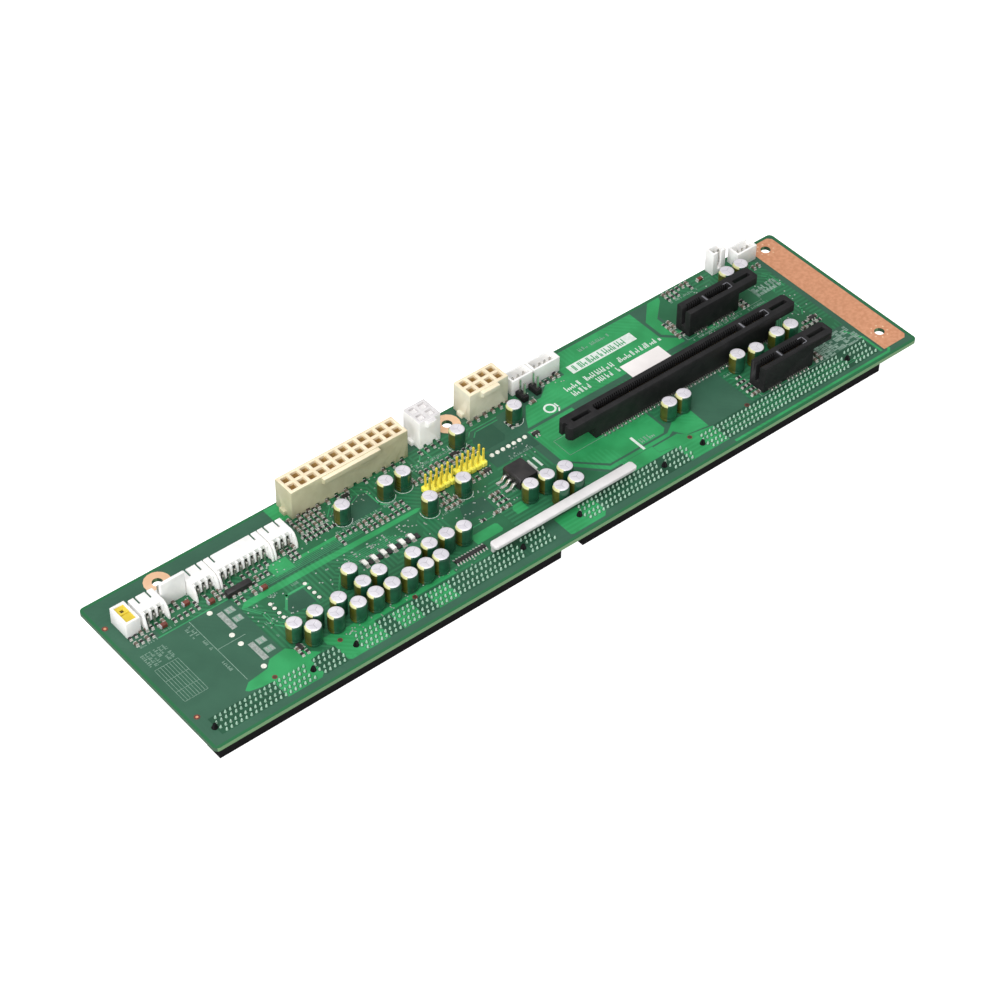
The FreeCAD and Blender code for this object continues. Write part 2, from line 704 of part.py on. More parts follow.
SETUP_Y = BOARD_WIDTH - SETUP_ROW_REAR_INSET
JUMPER_Y = BOARD_WIDTH - JUMPER_REAR_INSET
SETUP_HEADERS = {
    "left_setup_header": (SETUP_COLUMNS, SETUP_LEFT_X, SETUP_Y),
    "right_setup_header": (SETUP_COLUMNS, SETUP_LEFT_X + SETUP_SPACING, SETUP_Y),
}
JUMPER_HEADERS = {
    "left_jumper_header": (1, JUMPER_X, JUMPER_Y),
    "right_jumper_header": (1, JUMPER_X + JUMPER_SPACING, JUMPER_Y),
}


def pin_base(columns, x, y):
    """Two-row pin strip's plastic base."""
    base = block(about(0, columns * PIN_PITCH), about(0, 2 * PIN_PITCH), (0, PIN_BASE_HEIGHT))
    return moved(base, x, y, TOP)


def strip_pins(headers):
    """Square pins on the bases of two-row strips."""
    pin = straight_pin(PIN_BASE_HEIGHT, PIN_TOP)
    pins = []
    for columns, x, y in headers.values():
        for u in row_places(columns, PIN_PITCH):
            pins += [moved(pin, x + u, y + side * PIN_PITCH / 2, TOP) for side in (1, -1)]
    return Part.makeCompound(pins)


def capacitors():
    """All the cans, each row placed from the edges that it keeps to."""
    places = [(x, y) for y, row in FRONT_CAPS.items() for x in row]
    places += [(x, BOARD_WIDTH - inset) for inset, row in REAR_CAPS.items() for x in row]
    places += [(SLOT_END_X - inset, y) for y, row in SLOT_CAPS.items() for inset in row]
    span_z = (TOP, TOP + CAP_HEIGHT)
    flats = CAP_D * math.cos(math.pi / ROUND_SIDES)
    return Part.makeCompound([polygon(x, y, span_z, flats, ROUND_SIDES) for x, y in places])


def regulator_body():
    """Moulded body with a cut edge over the leads, seated round its tab."""
    low = REGULATOR_X - REGULATOR_LENGTH / 2
    high = REGULATOR_X + REGULATOR_LENGTH / 2
    span_y = about(REGULATOR_Y, REGULATOR_WIDTH)
    outline = [(low, 0), (high, 0), (high, REGULATOR_HEIGHT), (low + REGULATOR_CHAMFER, REGULATOR_HEIGHT),
               (low, REGULATOR_HEIGHT - REGULATOR_CHAMFER)]
    body = prism([(x, span_y[0], TOP + z) for x, z in outline], (0, REGULATOR_WIDTH, 0))
    return body.cut(regulator_tab())


def regulator_tab():
    """Metal tab under the body, soldered flat to the board."""
    start = REGULATOR_X
    end = REGULATOR_X + REGULATOR_LENGTH / 2 + TAB_REACH
    width = REGULATOR_WIDTH - 2 * TAB_SIDE_MARGIN
    return block((start, end), about(REGULATOR_Y, width), (TOP, TOP + TAB_THICKNESS))


def regulator_leads():
    """Three leads that step down from the body to the board."""
    root = REGULATOR_X - REGULATOR_LENGTH / 2
    knee = root - LEAD_RUN
    foot = knee - LEAD_FOOT
    high = LEAD_HEIGHT + LEAD_THICKNESS
    slope = LEAD_THICKNESS
    outline = [(root, LEAD_HEIGHT), (root, high), (knee + slope, high), (knee - slope, LEAD_THICKNESS),
               (foot, LEAD_THICKNESS), (foot, 0), (knee, 0), (knee + 2 * slope, LEAD_HEIGHT)]
    lead = prism([(x, -LEAD_WIDTH / 2, z) for x, z in outline], (0, LEAD_WIDTH, 0))
    return Part.makeCompound([moved(lead, 0, REGULATOR_Y + i * LEAD_PITCH, TOP) for i in (-1, 0, 1)])


def stiffener_bar():
    """Flat bar with cut corners, carried over the tails on a leg at each end."""
    span_y = about(BAR_Y, BAR_WIDTH)
    right = BAR_LEFT_X + BAR_LENGTH
    bar = block((BAR_LEFT_X, right), span_y, (BAR_TOP - BAR_THICKNESS, BAR_TOP))
    bar = bar.makeChamfer(BAR_CORNER, upright_edges(bar))
    leg_y = (span_y[1] - BAR_LEG_WIDTH, span_y[1])
    inset = BAR_CORNER
    legs = [block((x, x + BAR_LEG_WIDTH), leg_y, (0, BAR_TOP - BAR_THICKNESS))
            for x in (BAR_LEFT_X + inset, right - inset - BAR_LEG_WIDTH)]
    return moved(bar.fuse(legs), 0, 0, TOP)


def chip(x, y, size):
    return block(about(x, size[0]), about(y, size[1]), (TOP, TOP + size[2]))


def tantalums():
    return Part.makeCompound([chip(x, BOARD_WIDTH - inset, TANTALUM_SIZE) for x, inset in TANTALUMS])


def diodes():
    places = [DIODE_FIRST_X + i * DIODE_PITCH for i in range(DIODE_COUNT)]
    return Part.makeCompound([chip(x, DIODE_Y, DIODE_SIZE) for x in places])


nodes = {
    "board": board(),
    "ground_strip": ground_strip(),
    "ring_pads": ring_pads(),
    "front_card_slot": card_slot("front_card_slot"),
    "long_card_slot": card_slot("long_card_slot", latch_end=True),
    "rear_card_slot": card_slot("rear_card_slot"),
    "main_power_header": power_header(MAIN_COLUMNS, MAIN_X, MAIN_LATCH),
    "main_power_pins": power_pins(MAIN_COLUMNS, MAIN_X),
    "aux_power_header": power_header(AUX_COLUMNS, AUX_X, AUX_LATCH),
    "aux_power_pins": power_pins(AUX_COLUMNS, AUX_X),
    "square_power_header": power_header(SQUARE_COLUMNS, SQUARE_X, SQUARE_LATCH),
    "square_power_pins": power_pins(SQUARE_COLUMNS, SQUARE_X),
    "wafer_pins": wafer_pins(),
    "side_box": side_box_place(box_header(box_length(SIDE_BOX_PINS))),
    "side_box_insert": side_insert(),
    "speaker_box": speaker_box(),
    "box_pins": box_pins(),
    "fan_header": fan_header(),
    "fan_pins": fan_pins(),
    "setup_pins": strip_pins(SETUP_HEADERS),
    "jumper_pins": strip_pins(JUMPER_HEADERS),
    "capacitors": capacitors(),
    "regulator_body": regulator_body(),
    "regulator_tab": regulator_tab(),
    "regulator_leads": regulator_leads(),
    "stiffener_bar": stiffener_bar(),
    "resistor_array": chip(ARRAY_X, BOARD_WIDTH - ARRAY_REAR_INSET, ARRAY_SIZE),
    "tantalum_capacitors": tantalums(),
    "diodes": diodes(),
}
for side in "abcd":
    nodes["host_socket_" + side] = host_socket("host_socket_" + side)
    nodes["host_tails_" + side] = host_tails("host_socket_" + side)
for name in ("front", "long", "rear"):
    nodes[name + "_slot_contacts"] = slot_contacts(name + "_card_slot")
for name, (pins, x) in WAFERS.items():
    nodes[name] = moved(side_wafer(pins), x, MOUTH_Y, TOP)
for name, (pins, x, y) in BOXES.items():
    nodes[name] = moved(box_header(box_length(pins)), x, y, TOP)
for name, header in list(SETUP_HEADERS.items()) + list(JUMPER_HEADERS.items()):
    nodes[name] = pin_base(*header)

os.makedirs("parts", exist_ok=True)
for name, shape in nodes.items():
    placed = moved(shape, -ORIGIN.x, -ORIGIN.y, -ORIGIN.z)
    placed.exportStep(os.path.join("parts", name + ".step"))
print(len(nodes), "nodes; board", round(BOARD_LENGTH, 2), "by", round(BOARD_WIDTH, 2))
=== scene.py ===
import math
import random

import bmesh
import bpy
from mathutils import Matrix, Vector


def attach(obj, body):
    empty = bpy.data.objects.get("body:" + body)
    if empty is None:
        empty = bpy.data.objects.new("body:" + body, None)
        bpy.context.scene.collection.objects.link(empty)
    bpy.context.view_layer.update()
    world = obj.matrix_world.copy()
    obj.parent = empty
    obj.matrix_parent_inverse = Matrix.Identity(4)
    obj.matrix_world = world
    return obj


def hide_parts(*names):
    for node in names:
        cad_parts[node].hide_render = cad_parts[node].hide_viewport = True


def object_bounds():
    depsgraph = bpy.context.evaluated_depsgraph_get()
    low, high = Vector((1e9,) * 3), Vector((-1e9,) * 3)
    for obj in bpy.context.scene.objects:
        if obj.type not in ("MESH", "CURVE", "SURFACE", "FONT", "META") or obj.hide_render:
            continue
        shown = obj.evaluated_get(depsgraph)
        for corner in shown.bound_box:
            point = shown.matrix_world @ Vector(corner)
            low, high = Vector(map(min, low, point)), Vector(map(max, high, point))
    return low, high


# Looks of the passive backplane. Pieces are drawn in board millimetres: X and Y from a corner just inside
# the board's front left one, Z from the underside. piece() moves them to the shared frame.

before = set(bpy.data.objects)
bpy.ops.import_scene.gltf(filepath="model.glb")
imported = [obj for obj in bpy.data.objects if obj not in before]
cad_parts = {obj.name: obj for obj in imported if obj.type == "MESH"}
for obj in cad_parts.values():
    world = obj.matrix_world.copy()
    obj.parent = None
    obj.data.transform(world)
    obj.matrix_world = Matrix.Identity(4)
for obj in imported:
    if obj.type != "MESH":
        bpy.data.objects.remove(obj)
cad_low, cad_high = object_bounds()

MM = 0.001
END_SCREWS = Vector((314.1, 41.52, 0.0))
TO_FRAME = Matrix.Scale(MM, 4) @ Matrix.Translation(-END_SCREWS)
LEFT, RIGHT = -1.25, 322.3
FRONT, REAR = -1.8, 78.99
TOP = 1.6

# Heights of the thin layers on the top face, which all start just inside it
SUNK = TOP - 0.01
BROAD_FIELD = TOP + 0.012
BRIGHT_FIELD = TOP + 0.022
TRACK = TOP + 0.034
BARE_FIELD = TOP + 0.030
PAD = TOP + 0.055
INK = TOP + 0.065

# Sockets under the front edge: the X of each right end and the contacts beyond the key
HOSTS = {"a": (307.8, 71), "b": (216.1, 38), "c": (150.1, 71), "d": (59.0, 38)}
HOST_ROW = 6.4
HOST_WIDTH = 7.5
HOST_HEIGHT = 9.6
# Low and high X of the joints that end walls close
HOST_JOINTS = ((59.0, 61.1), (216.1, 218.8))
# Card slots on top: the Y of each row and the contacts beyond the key
SLOTS = {"front": (16.2, 7), "long": (36.52, 71), "rear": (56.84, 7)}
SLOT_END = 281.0
SLOT_TOP = TOP + 11.25
# Contacts of any of them: places from the right end, one to a millimetre, and the rows of their tails
KEY_CONTACTS = 11
FIRST_CONTACT = 2.825
FIRST_PAST_KEY = 16.175
TAIL_ROWS = (1.25, 3.25)
# Screw holes at the right end
END_HOLES = ((314.1, 10.25), (314.1, 72.79))
# Capacitors, and how far each lead is from the middle
CAN_LEAD = 1.25
CANS = (
    (52.6, 16.8), (62.1, 16.8), (71.0, 16.0), (78.4, 16.0), (85.5, 16.0), (92.9, 16.0), (100.1, 16.0),
    (106.7, 16.0), (160.9, 16.0), (167.9, 16.0), (48.4, 22.0), (57.2, 22.0), (67.1, 22.0), (121.7, 22.0),
    (78.2, 22.9), (99.9, 22.9), (107.1, 22.9), (114.7, 22.9), (168.6, 22.9), (85.8, 23.7), (153.3, 23.7),
    (160.8, 23.7), (78.2, 30.6), (121.7, 41.04), (136.8, 41.04), (95.2, 57.04), (114.4, 57.04),
    (122.2, 57.04), (150.7, 61.84), (175.1, 59.04), (227.0, 24.8), (220.0, 24.8), (284.5, 28.5),
    (277.4, 28.5), (257.3, 28.5), (265.2, 26.8), (293.9, 66.2), (286.8, 66.2),
)
# Power headers: the X of each middle and its columns
HEADERS = {"main": (107.4, 12), "aux": (170.85, 4), "square": (143.4, 2)}
HEADER_ROW = 72.99
HEADER_PITCH = 4.2
HEADER_SIDE = 4.8
HEADER_TOP = TOP + 12.8
CELL_RIM = TOP + 11.9
CELL_FLOOR = TOP + 1.7
# Wafers: the X of each middle and its pins
WAFERS = {"left": (16.3, 3), "sensor": (37.0, 3), "panel": (53.55, 8), "end": (70.1, 3)}
WAFER_FRONT = 59.24
WAFER_PIN_ROW = 58.0
WAFER_PITCH = 2.5
# White boxes and the fan header: the middle of each row of pins, and its pins
BOXES = ((187.85, 72.14, 3), (199.4, 72.14, 4), (302.35, 74.04, 3), (290.35, 76.44, 2))
SIDE_BOX = (7.25, 62.04, 3)
FAN_HEADER = (26.75, 65.24, 4)
# Two-row strips and two-pin strips: the X of each middle
SETUP_STRIPS = {"left": 131.85, "right": 146.2}
SETUP_ROW = 48.74
SETUP_COLUMNS = 5
JUMPERS = (185.0, 191.2)
JUMPER_ROW = 66.24
PIN_PITCH = 2.54
# Larger surface parts, and the pitch of small leads
TANTALUMS = ((17.0, 54.14), (28.8, 57.84), (36.0, 53.14), (53.8, 47.14))
DIODES = [88.1 + 4.08 * i for i in range(6)]
DIODE_ROW = 34.9
LEAD_PITCH = 1.27


# Shader groups


def feed(tree, socket, value):
    """Links a socket to another, or sets its value."""
    if isinstance(value, bpy.types.NodeSocket):
        tree.links.new(value, socket)
    else:
        socket.default_value = value


def put(tree, kind, inputs=None, **settings):
    """A new node with its settings and inputs."""
    node = tree.nodes.new(kind)
    for key, value in settings.items():
        setattr(node, key, value)
    for key, value in (inputs or {}).items():
        feed(tree, node.inputs[key], value)
    return node


def sums(tree, operation, *values):
    """Result of a sum on values or sockets."""
    return put(tree, "ShaderNodeMath", dict(enumerate(values)), operation=operation).outputs[0]


def tint(tree, share, low, high):
    """Colour between two others."""
    return put(tree, "ShaderNodeMix", {0: share, 6: low, 7: high}, data_type="RGBA").outputs[2]


def ramp(tree, value, low, high):
    """Smooth step of a value between two limits."""
    step = put(tree, "ShaderNodeMapRange", {0: value, 1: low, 2: high}, interpolation_type="SMOOTHSTEP")
    return step.outputs[0]


def group(name, inputs, outputs):
    """Empty shader group with its named sockets, and its two end nodes."""
    tree = bpy.data.node_groups.new(name, "ShaderNodeTree")
    for title, kind, value in inputs:
        socket = tree.interface.new_socket(title, in_out="INPUT", socket_type="NodeSocket" + kind)
        socket.default_value = value
    for title, kind in outputs:
        tree.interface.new_socket(title, in_out="OUTPUT", socket_type="NodeSocket" + kind)
    return tree, tree.nodes.new("NodeGroupInput").outputs, tree.nodes.new("NodeGroupOutput").inputs


def mottle_group():
    """Slow drift between two shades, for any finish."""
    grey = (0.5, 0.5, 0.5, 1)
    tree, given, made = group(
        "mottle", [("Light", "Color", grey), ("Dark", "Color", grey), ("Scale", "Float", 300.0)],
        [("Colour", "Color")])
    place = put(tree, "ShaderNodeTexCoord").outputs["Object"]
    noise = put(tree, "ShaderNodeTexNoise", {"Vector": place, "Scale": given["Scale"], "Detail": 4.0})
    share = ramp(tree, noise.outputs["Fac"], 0.32, 0.68)
    feed(tree, made["Colour"], tint(tree, share, given["Dark"], given["Light"]))
    return tree


def grain_group():
    """Fine surface grain with handling marks in the gloss."""
    tree, given, made = group(
        "grain", [("Scale", "Float", 2500.0), ("Roughness", "Float", 0.5), ("Marks", "Float", 0.1)],
        [("Roughness", "Float"), ("Height", "Float")])
    place = put(tree, "ShaderNodeTexCoord").outputs["Object"]
    fine = put(tree, "ShaderNodeTexNoise", {"Vector": place, "Scale": given["Scale"], "Detail": 2.0})
    broad = put(tree, "ShaderNodeTexNoise", {"Vector": place, "Scale": 120.0, "Detail": 5.0})
    drift = sums(tree, "SUBTRACT", broad.outputs["Fac"], 0.5)
    swing = sums(tree, "MULTIPLY", drift, given["Marks"])
    feed(tree, made["Roughness"], sums(tree, "ADD", given["Roughness"], swing))
    feed(tree, made["Height"], fine.outputs["Fac"])
    return tree


def bundle_group():
    """Bundles of fine parallel tracks that change direction from patch to patch."""
    tree, given, made = group(
        "track_bundles", [("Patches", "Float", 75.0), ("Pitch", "Float", 0.0009)], [("Mask", "Float")])
    place = put(tree, "ShaderNodeTexCoord").outputs["Object"]
    patch = put(tree, "ShaderNodeTexVoronoi", {"Vector": place, "Scale": given["Patches"]},
                voronoi_dimensions="2D", distance="CHEBYCHEV")
    chance = put(tree, "ShaderNodeSeparateColor", {0: patch.outputs["Color"]}).outputs
    axes = put(tree, "ShaderNodeSeparateXYZ", {0: place}).outputs
    slant = sums(tree, "MULTIPLY", sums(tree, "ADD", axes["X"], axes["Y"]), 0.7071)
    along = sums(tree, "GREATER_THAN", chance[0], 0.4)
    line = put(tree, "ShaderNodeMix", {0: along, 2: axes["X"], 3: axes["Y"]}).outputs[0]
    turned = sums(tree, "GREATER_THAN", chance[1], 0.72)
    line = put(tree, "ShaderNodeMix", {0: turned, 2: line, 3: slant}).outputs[0]
    wave = sums(tree, "PINGPONG", sums(tree, "DIVIDE", line, given["Pitch"]), 1.0)
    stripe = ramp(tree, wave, 0.45, 0.62)
    used = sums(tree, "GREATER_THAN", chance[2], 0.35)
    feed(tree, made["Mask"], sums(tree, "MULTIPLY", stripe, used))
    return tree


def rim_group():
    """Copper-free margin along the board's edges, and the sawn edge itself, with painted shade on the edges
    that face along X.
    """
    tree, given, made = group("board_rim", [("Margin", "Float", 0.0012)],
                              [("Margin", "Float"), ("Edge", "Float"), ("Shaded_Side", "Float")])
    coord = put(tree, "ShaderNodeTexCoord").outputs
    axes = put(tree, "ShaderNodeSeparateXYZ", {0: coord["Object"]}).outputs
    near = None
    for axis, low, high, start in (("X", LEFT, RIGHT, END_SCREWS.x), ("Y", FRONT, REAR, END_SCREWS.y)):
        middle = (low + high) / 2 - start
        offset = sums(tree, "ABSOLUTE", sums(tree, "SUBTRACT", axes[axis], middle * MM))
        inset = sums(tree, "SUBTRACT", (high - low) / 2 * MM, offset)
        near = inset if near is None else sums(tree, "MINIMUM", near, inset)
    feed(tree, made["Margin"], sums(tree, "LESS_THAN", near, given["Margin"]))
    facing = put(tree, "ShaderNodeSeparateXYZ", {0: coord["Normal"]}).outputs
    feed(tree, made["Edge"], sums(tree, "LESS_THAN", sums(tree, "ABSOLUTE", facing["Z"]), 0.5))
    feed(tree, made["Shaded_Side"], sums(tree, "GREATER_THAN", sums(tree, "ABSOLUTE", facing["X"]), 0.5))
    return tree


MOTTLE = mottle_group()
GRAIN = grain_group()
BUNDLES = bundle_group()
RIM = rim_group()


# Finishes


def shade(red, green, blue):
    """Linear colour of a screen colour."""
    parts = [c / 255 for c in (red, green, blue)]
    return tuple(c / 12.92 if c <= 0.04045 else ((c + 0.055) / 1.055) ** 2.4 for c in parts) + (1.0,)


def finish(name, light, dark, roughness, drift=260.0, grain=2600.0, depth=0.012, marks=0.15, **constants):
    """Material with a drift of colour, a fine grain and its own shader constants."""
    material = bpy.data.materials.new(name)
    material.use_nodes = True
    tree = material.node_tree
    shader = tree.nodes["Principled BSDF"]
    colour = put(tree, "ShaderNodeGroup", {"Light": shade(*light), "Dark": shade(*dark), "Scale": drift},
                 node_tree=MOTTLE)
    surface = put(tree, "ShaderNodeGroup", {"Scale": grain, "Roughness": roughness, "Marks": marks},
                  node_tree=GRAIN)
    relief = put(tree, "ShaderNodeBump", {"Height": surface.outputs["Height"], "Strength": 0.5,
                                          "Distance": depth * MM})
    feed(tree, shader.inputs["Base Color"], colour.outputs["Colour"])
    feed(tree, shader.inputs["Roughness"], surface.outputs["Roughness"])
    feed(tree, shader.inputs["Normal"], relief.outputs["Normal"])
    for key, value in constants.items():
        shader.inputs[key.replace("_", " ")].default_value = value
    return material


def mask_finish(name, light, dark, line, share, margin=False):
    """Solder mask over laminate or copper, with the tracks that show through it."""
    material = finish(name, light, dark, 0.42, drift=90.0, grain=1500.0, depth=0.006, IOR=1.5,
                      Specular_IOR_Level=0.35)
    tree = material.node_tree
    shader = tree.nodes["Principled BSDF"]
    base = shader.inputs["Base Color"].links[0].from_socket
    bundles = put(tree, "ShaderNodeGroup", node_tree=BUNDLES)
    colour = tint(tree, sums(tree, "MULTIPLY", bundles.outputs["Mask"], share), base, shade(*line))
    if margin:
        rim = put(tree, "ShaderNodeGroup", node_tree=RIM)
        colour = tint(tree, rim.outputs["Margin"], colour, shade(34, 103, 63))
        # Sawn edge colour, with painted shade on the short edges that face along X
        sawn = tint(tree, rim.outputs["Shaded_Side"], shade(114, 154, 108), shade(58, 92, 68))
        colour = tint(tree, rim.outputs["Edge"], colour, sawn)
    feed(tree, shader.inputs["Base Color"], colour)
    return material


THICK_PLASTIC = {
    "Subsurface_Weight": 0.12,
    "Subsurface_Scale": 0.0012,
    "Subsurface_Radius": (1.0, 0.8, 0.5),
}
LIT_WHITE = (1, 0.99, 0.98, 1)

BOARD = mask_finish("board_mask", (54, 97, 76), (49, 91, 71), (58, 106, 83), 0.10, margin=True)
BROAD = mask_finish("mask_on_fine_copper", (40, 106, 70), (33, 94, 61), (54, 132, 89), 0.45)
BRIGHT = mask_finish("mask_on_copper", (50, 156, 93), (40, 138, 79), (60, 168, 106), 0.25)
BARE = mask_finish("mask_on_laminate", (46, 90, 70), (40, 82, 63), (46, 90, 70), 0.0)
# Darker mask of painted shade among the host tails and round pads
SHADED = mask_finish("mask_painted_shade_among_pads", (34, 84, 60), (26, 72, 50), (46, 102, 74), 0.30)
LINE = mask_finish("mask_on_track", (64, 158, 104), (52, 140, 90), (64, 158, 104), 0.0)
COPPER = finish("bare_copper", (234, 170, 132), (220, 154, 116), 0.5, drift=700.0, marks=0.3, Metallic=0.45)
RING = finish("ring_copper", (246, 206, 170), (234, 190, 152), 0.5, drift=150.0, Metallic=0.3)
BLACK = finish("black_plastic", (38, 37, 38), (30, 30, 31), 0.55, marks=0.2, Specular_IOR_Level=0.2)
# Light grey of painted highlights where the slits' chamfered ends and keys catch the light
PAINTED_EDGE_HIGHLIGHT = finish("painted_edge_highlight", (128, 128, 134), (104, 104, 110), 0.45)
SOCKET = finish("socket_black", (14, 13, 15), (9, 9, 10), 0.6, Specular_IOR_Level=0.2)
SOLDER = finish("solder", (206, 214, 208), (172, 184, 176), 0.34, drift=1400.0, depth=0.03, Metallic=0.75)
TAIL = finish("soldered_tail", (196, 224, 206), (164, 202, 180), 0.3, drift=1400.0, depth=0.02,
              Metallic=0.2)
CHIP_END = finish("tinned_end", (206, 206, 200), (180, 180, 174), 0.34, drift=1500.0, Metallic=0.2)
PAD_END = finish("tinned_pad", (240, 240, 230), (222, 222, 210), 0.34, drift=1500.0, Metallic=0.1)
GOLD = finish("contact_gold", (226, 190, 110), (206, 166, 88), 0.3, Metallic=1.0)
IVORY = finish("ivory_plastic", (202, 198, 166), (194, 189, 156), 0.5, **THICK_PLASTIC)
# Lighter copy of the ivory, painted light on the aux header to offset the shade it lies in
IVORY_LIGHTENED = finish("ivory_plastic_painted_lighter", (230, 226, 204), (222, 218, 194), 0.5, **THICK_PLASTIC)
# Lighter copy of the ivory with painted light, for the headers' upward faces and rims
IVORY_TOP_LIGHT = finish("ivory_painted_top_light", (242, 228, 198), (234, 218, 186), 0.5)
# White plastic; its emission is a faint painted glow
WHITE = finish("white_plastic", (242, 241, 239), (233, 232, 230), 0.42, Subsurface_Weight=0.12,
               Subsurface_Scale=0.0010, Subsurface_Radius=(1.0, 0.9, 0.8), Emission_Color=LIT_WHITE,
               Emission_Strength=0.05)
# Painted shade for the inner faces of the wafers' notches
WHITE_NOTCH_SHADE = finish("white_in_shade", (104, 116, 100), (80, 92, 78), 0.6)
# Natural plastic; its emission is a painted glow
CLEAR = finish("natural_plastic", (238, 236, 234), (231, 229, 227), 0.4, Subsurface_Weight=0.5,
               Subsurface_Scale=0.0030, Subsurface_Radius=(1.0, 0.95, 0.9),
               Emission_Color=(1, 0.99, 0.97, 1), Emission_Strength=0.16)
# Painted glow that washes out the square header's cell walls
GLOW = finish("natural_painted_glow", (226, 224, 224), (220, 218, 218), 0.5, Emission_Color=LIT_WHITE,
              Emission_Strength=0.3)
TINNED = finish("tinned_metal", (228, 226, 220), (198, 196, 190), 0.28, drift=1500.0, Metallic=0.9)
# Tan of the cell walls: painted shade with a painted warm reflection of the gold pins, lifted by a faint
# painted glow
CELL_SHADE_AND_GLOW = finish("ivory_cell_painted_shade_and_glow", (212, 182, 124), (194, 160, 102), 0.5, Emission_Color=shade(200, 166, 106),
               Emission_Strength=0.07)
PIN_GOLD = finish("yellow_pin", (252, 232, 92), (236, 210, 66), 0.32, Metallic=0.15)
YELLOW = finish("yellow_plastic", (255, 247, 104), (250, 238, 82), 0.42)
INSERT = finish("insert_plastic", (226, 202, 66), (212, 186, 50), 0.42)
SLEEVE = finish("capacitor_sleeve", (29, 84, 59), (20, 66, 45), 0.3, IOR=1.5, Coat_Weight=0.2)
STRIPE = finish("capacitor_stripe", (82, 84, 26), (64, 67, 18), 0.3, IOR=1.5, Coat_Weight=0.2)
SHOULDER = finish("capacitor_shoulder", (216, 214, 158), (200, 199, 140), 0.34, IOR=1.5)
CAN_TOP = finish("capacitor_top", (234, 230, 236), (218, 214, 222), 0.4, Metallic=0.3)
SCORE = finish("scored_line", (190, 188, 194), (172, 170, 176), 0.5, Metallic=0.3)
ENAMEL = finish("white_enamel", (222, 219, 219), (214, 211, 211), 0.38, Coat_Weight=0.2)
BROWN = finish("brown_resin", (116, 58, 46), (94, 46, 38), 0.45)
PALE = finish("pale_resin", (246, 245, 240), (232, 231, 226), 0.45)
INK_WHITE = finish("print_ink", (222, 230, 224), (206, 216, 208), 0.6, drift=900.0)
INK_WORN = finish("worn_print_ink", (140, 168, 152), (112, 144, 128), 0.6, drift=900.0)
PAPER = finish("label_paper", (246, 240, 238), (238, 232, 230), 0.6, drift=120.0)
CHIP_BLACK = finish("chip_black", (48, 45, 45), (34, 32, 33), 0.4)
CHIP_TAN = finish("chip_tan", (116, 102, 90), (86, 76, 68), 0.45)
# Dark brown of painted shade inside open holes
HOLE_SHADE = finish("hole_painted_shade", (74, 52, 36), (50, 36, 26), 0.5)


# Modelling helpers


def paint(verts, material):
    """Sets the finish of the faces about some points."""
    for face in {f for v in verts for f in v.link_faces}:
        face.material_index = material


def round_off(bm, edges, width, segments):
    """Rounds some edges, and leaves the finishes of their faces."""
    bmesh.ops.bevel(bm, geom=edges, offset=width, offset_type="OFFSET", segments=segments, profile=0.5,
                    affect="EDGES", clamp_overlap=True, material=-1)


def box(bm, x, y, z, soft=0.0, material=0):
    """Box between low and high limits on each axis, with its edges eased."""
    verts = bmesh.ops.create_cube(bm, size=1.0)["verts"]
    bmesh.ops.scale(bm, vec=[high - low for low, high in (x, y, z)], verts=verts)
    bmesh.ops.translate(bm, vec=[(low + high) / 2 for low, high in (x, y, z)], verts=verts)
    paint(verts, material)
    if soft:
        round_off(bm, list({e for v in verts for e in v.link_edges}), soft, 1)


def about(centre, size):
    """Limits of a size about its centre."""
    return centre - size / 2, centre + size / 2


def row(centre, count, pitch):
    """Places at equal steps about a centre."""
    return [centre + (i - (count - 1) / 2) * pitch for i in range(count)]


def sheet(bm, points, low, high, material=0):
    """Flat plate over an outline."""
    face = bm.faces.new([bm.verts.new((x, y, low)) for x, y in points])
    face.material_index = material
    made = bmesh.ops.extrude_face_region(bm, geom=[face])["geom"]
    verts = [v for v in made if isinstance(v, bmesh.types.BMVert)]
    bmesh.ops.translate(bm, vec=(0, 0, high - low), verts=verts)


def cone(bm, x, y, z, foot, tip, sides, material=0):
    """Upright round, from its foot's diameter to its tip's."""
    made = bmesh.ops.create_cone(bm, cap_ends=True, segments=sides, radius1=foot / 2, radius2=tip / 2,
                                 depth=abs(z[1] - z[0]))["verts"]
    if z[1] < z[0]:
        bmesh.ops.rotate(bm, cent=(0, 0, 0), matrix=Matrix.Rotation(math.pi, 3, "X"), verts=made)
    bmesh.ops.translate(bm, vec=(x, y, (z[0] + z[1]) / 2), verts=made)
    paint(made, material)


def stroke(bm, start, end, width, low, high, material=0):
    """Straight bar laid flat between two places."""
    start, end = Vector(start), Vector(end)
    run = end - start
    verts = bmesh.ops.create_cube(bm, size=1.0)["verts"]
    bmesh.ops.scale(bm, vec=(run.length + width, width, high - low), verts=verts)
    turn = Matrix.Rotation(math.atan2(run.y, run.x), 3, "Z")
    bmesh.ops.rotate(bm, cent=(0, 0, 0), matrix=turn, verts=verts)
    middle = (start + end) / 2
    bmesh.ops.translate(bm, vec=(middle.x, middle.y, (low + high) / 2), verts=verts)
    paint(verts, material)


def path(bm, points, width, low, high, material=0):
    """Bars laid flat from place to place."""
    for start, end in zip(points, points[1:]):
        stroke(bm, start, end, width, low, high, material)


def turned(bm, profile, steps):
    """Solid of revolution about Z from radius and height pairs."""
    verts = [bm.verts.new((radius, 0, height)) for radius, height in profile]
    edges = [bm.edges.new(pair) for pair in zip(verts, verts[1:])]
    bmesh.ops.spin(bm, geom=verts + edges, axis=(0, 0, 1), cent=(0, 0, 0), angle=math.tau, steps=steps,
                   use_merge=True)
    bmesh.ops.remove_doubles(bm, verts=bm.verts, dist=1e-4)
    bmesh.ops.recalc_face_normals(bm, faces=bm.faces)


def meshed(bm, name):
    """Mesh of a drawn shape, which is then let go."""
    mesh = bpy.data.meshes.new(name)
    bm.to_mesh(mesh)
    bm.free()
    return mesh


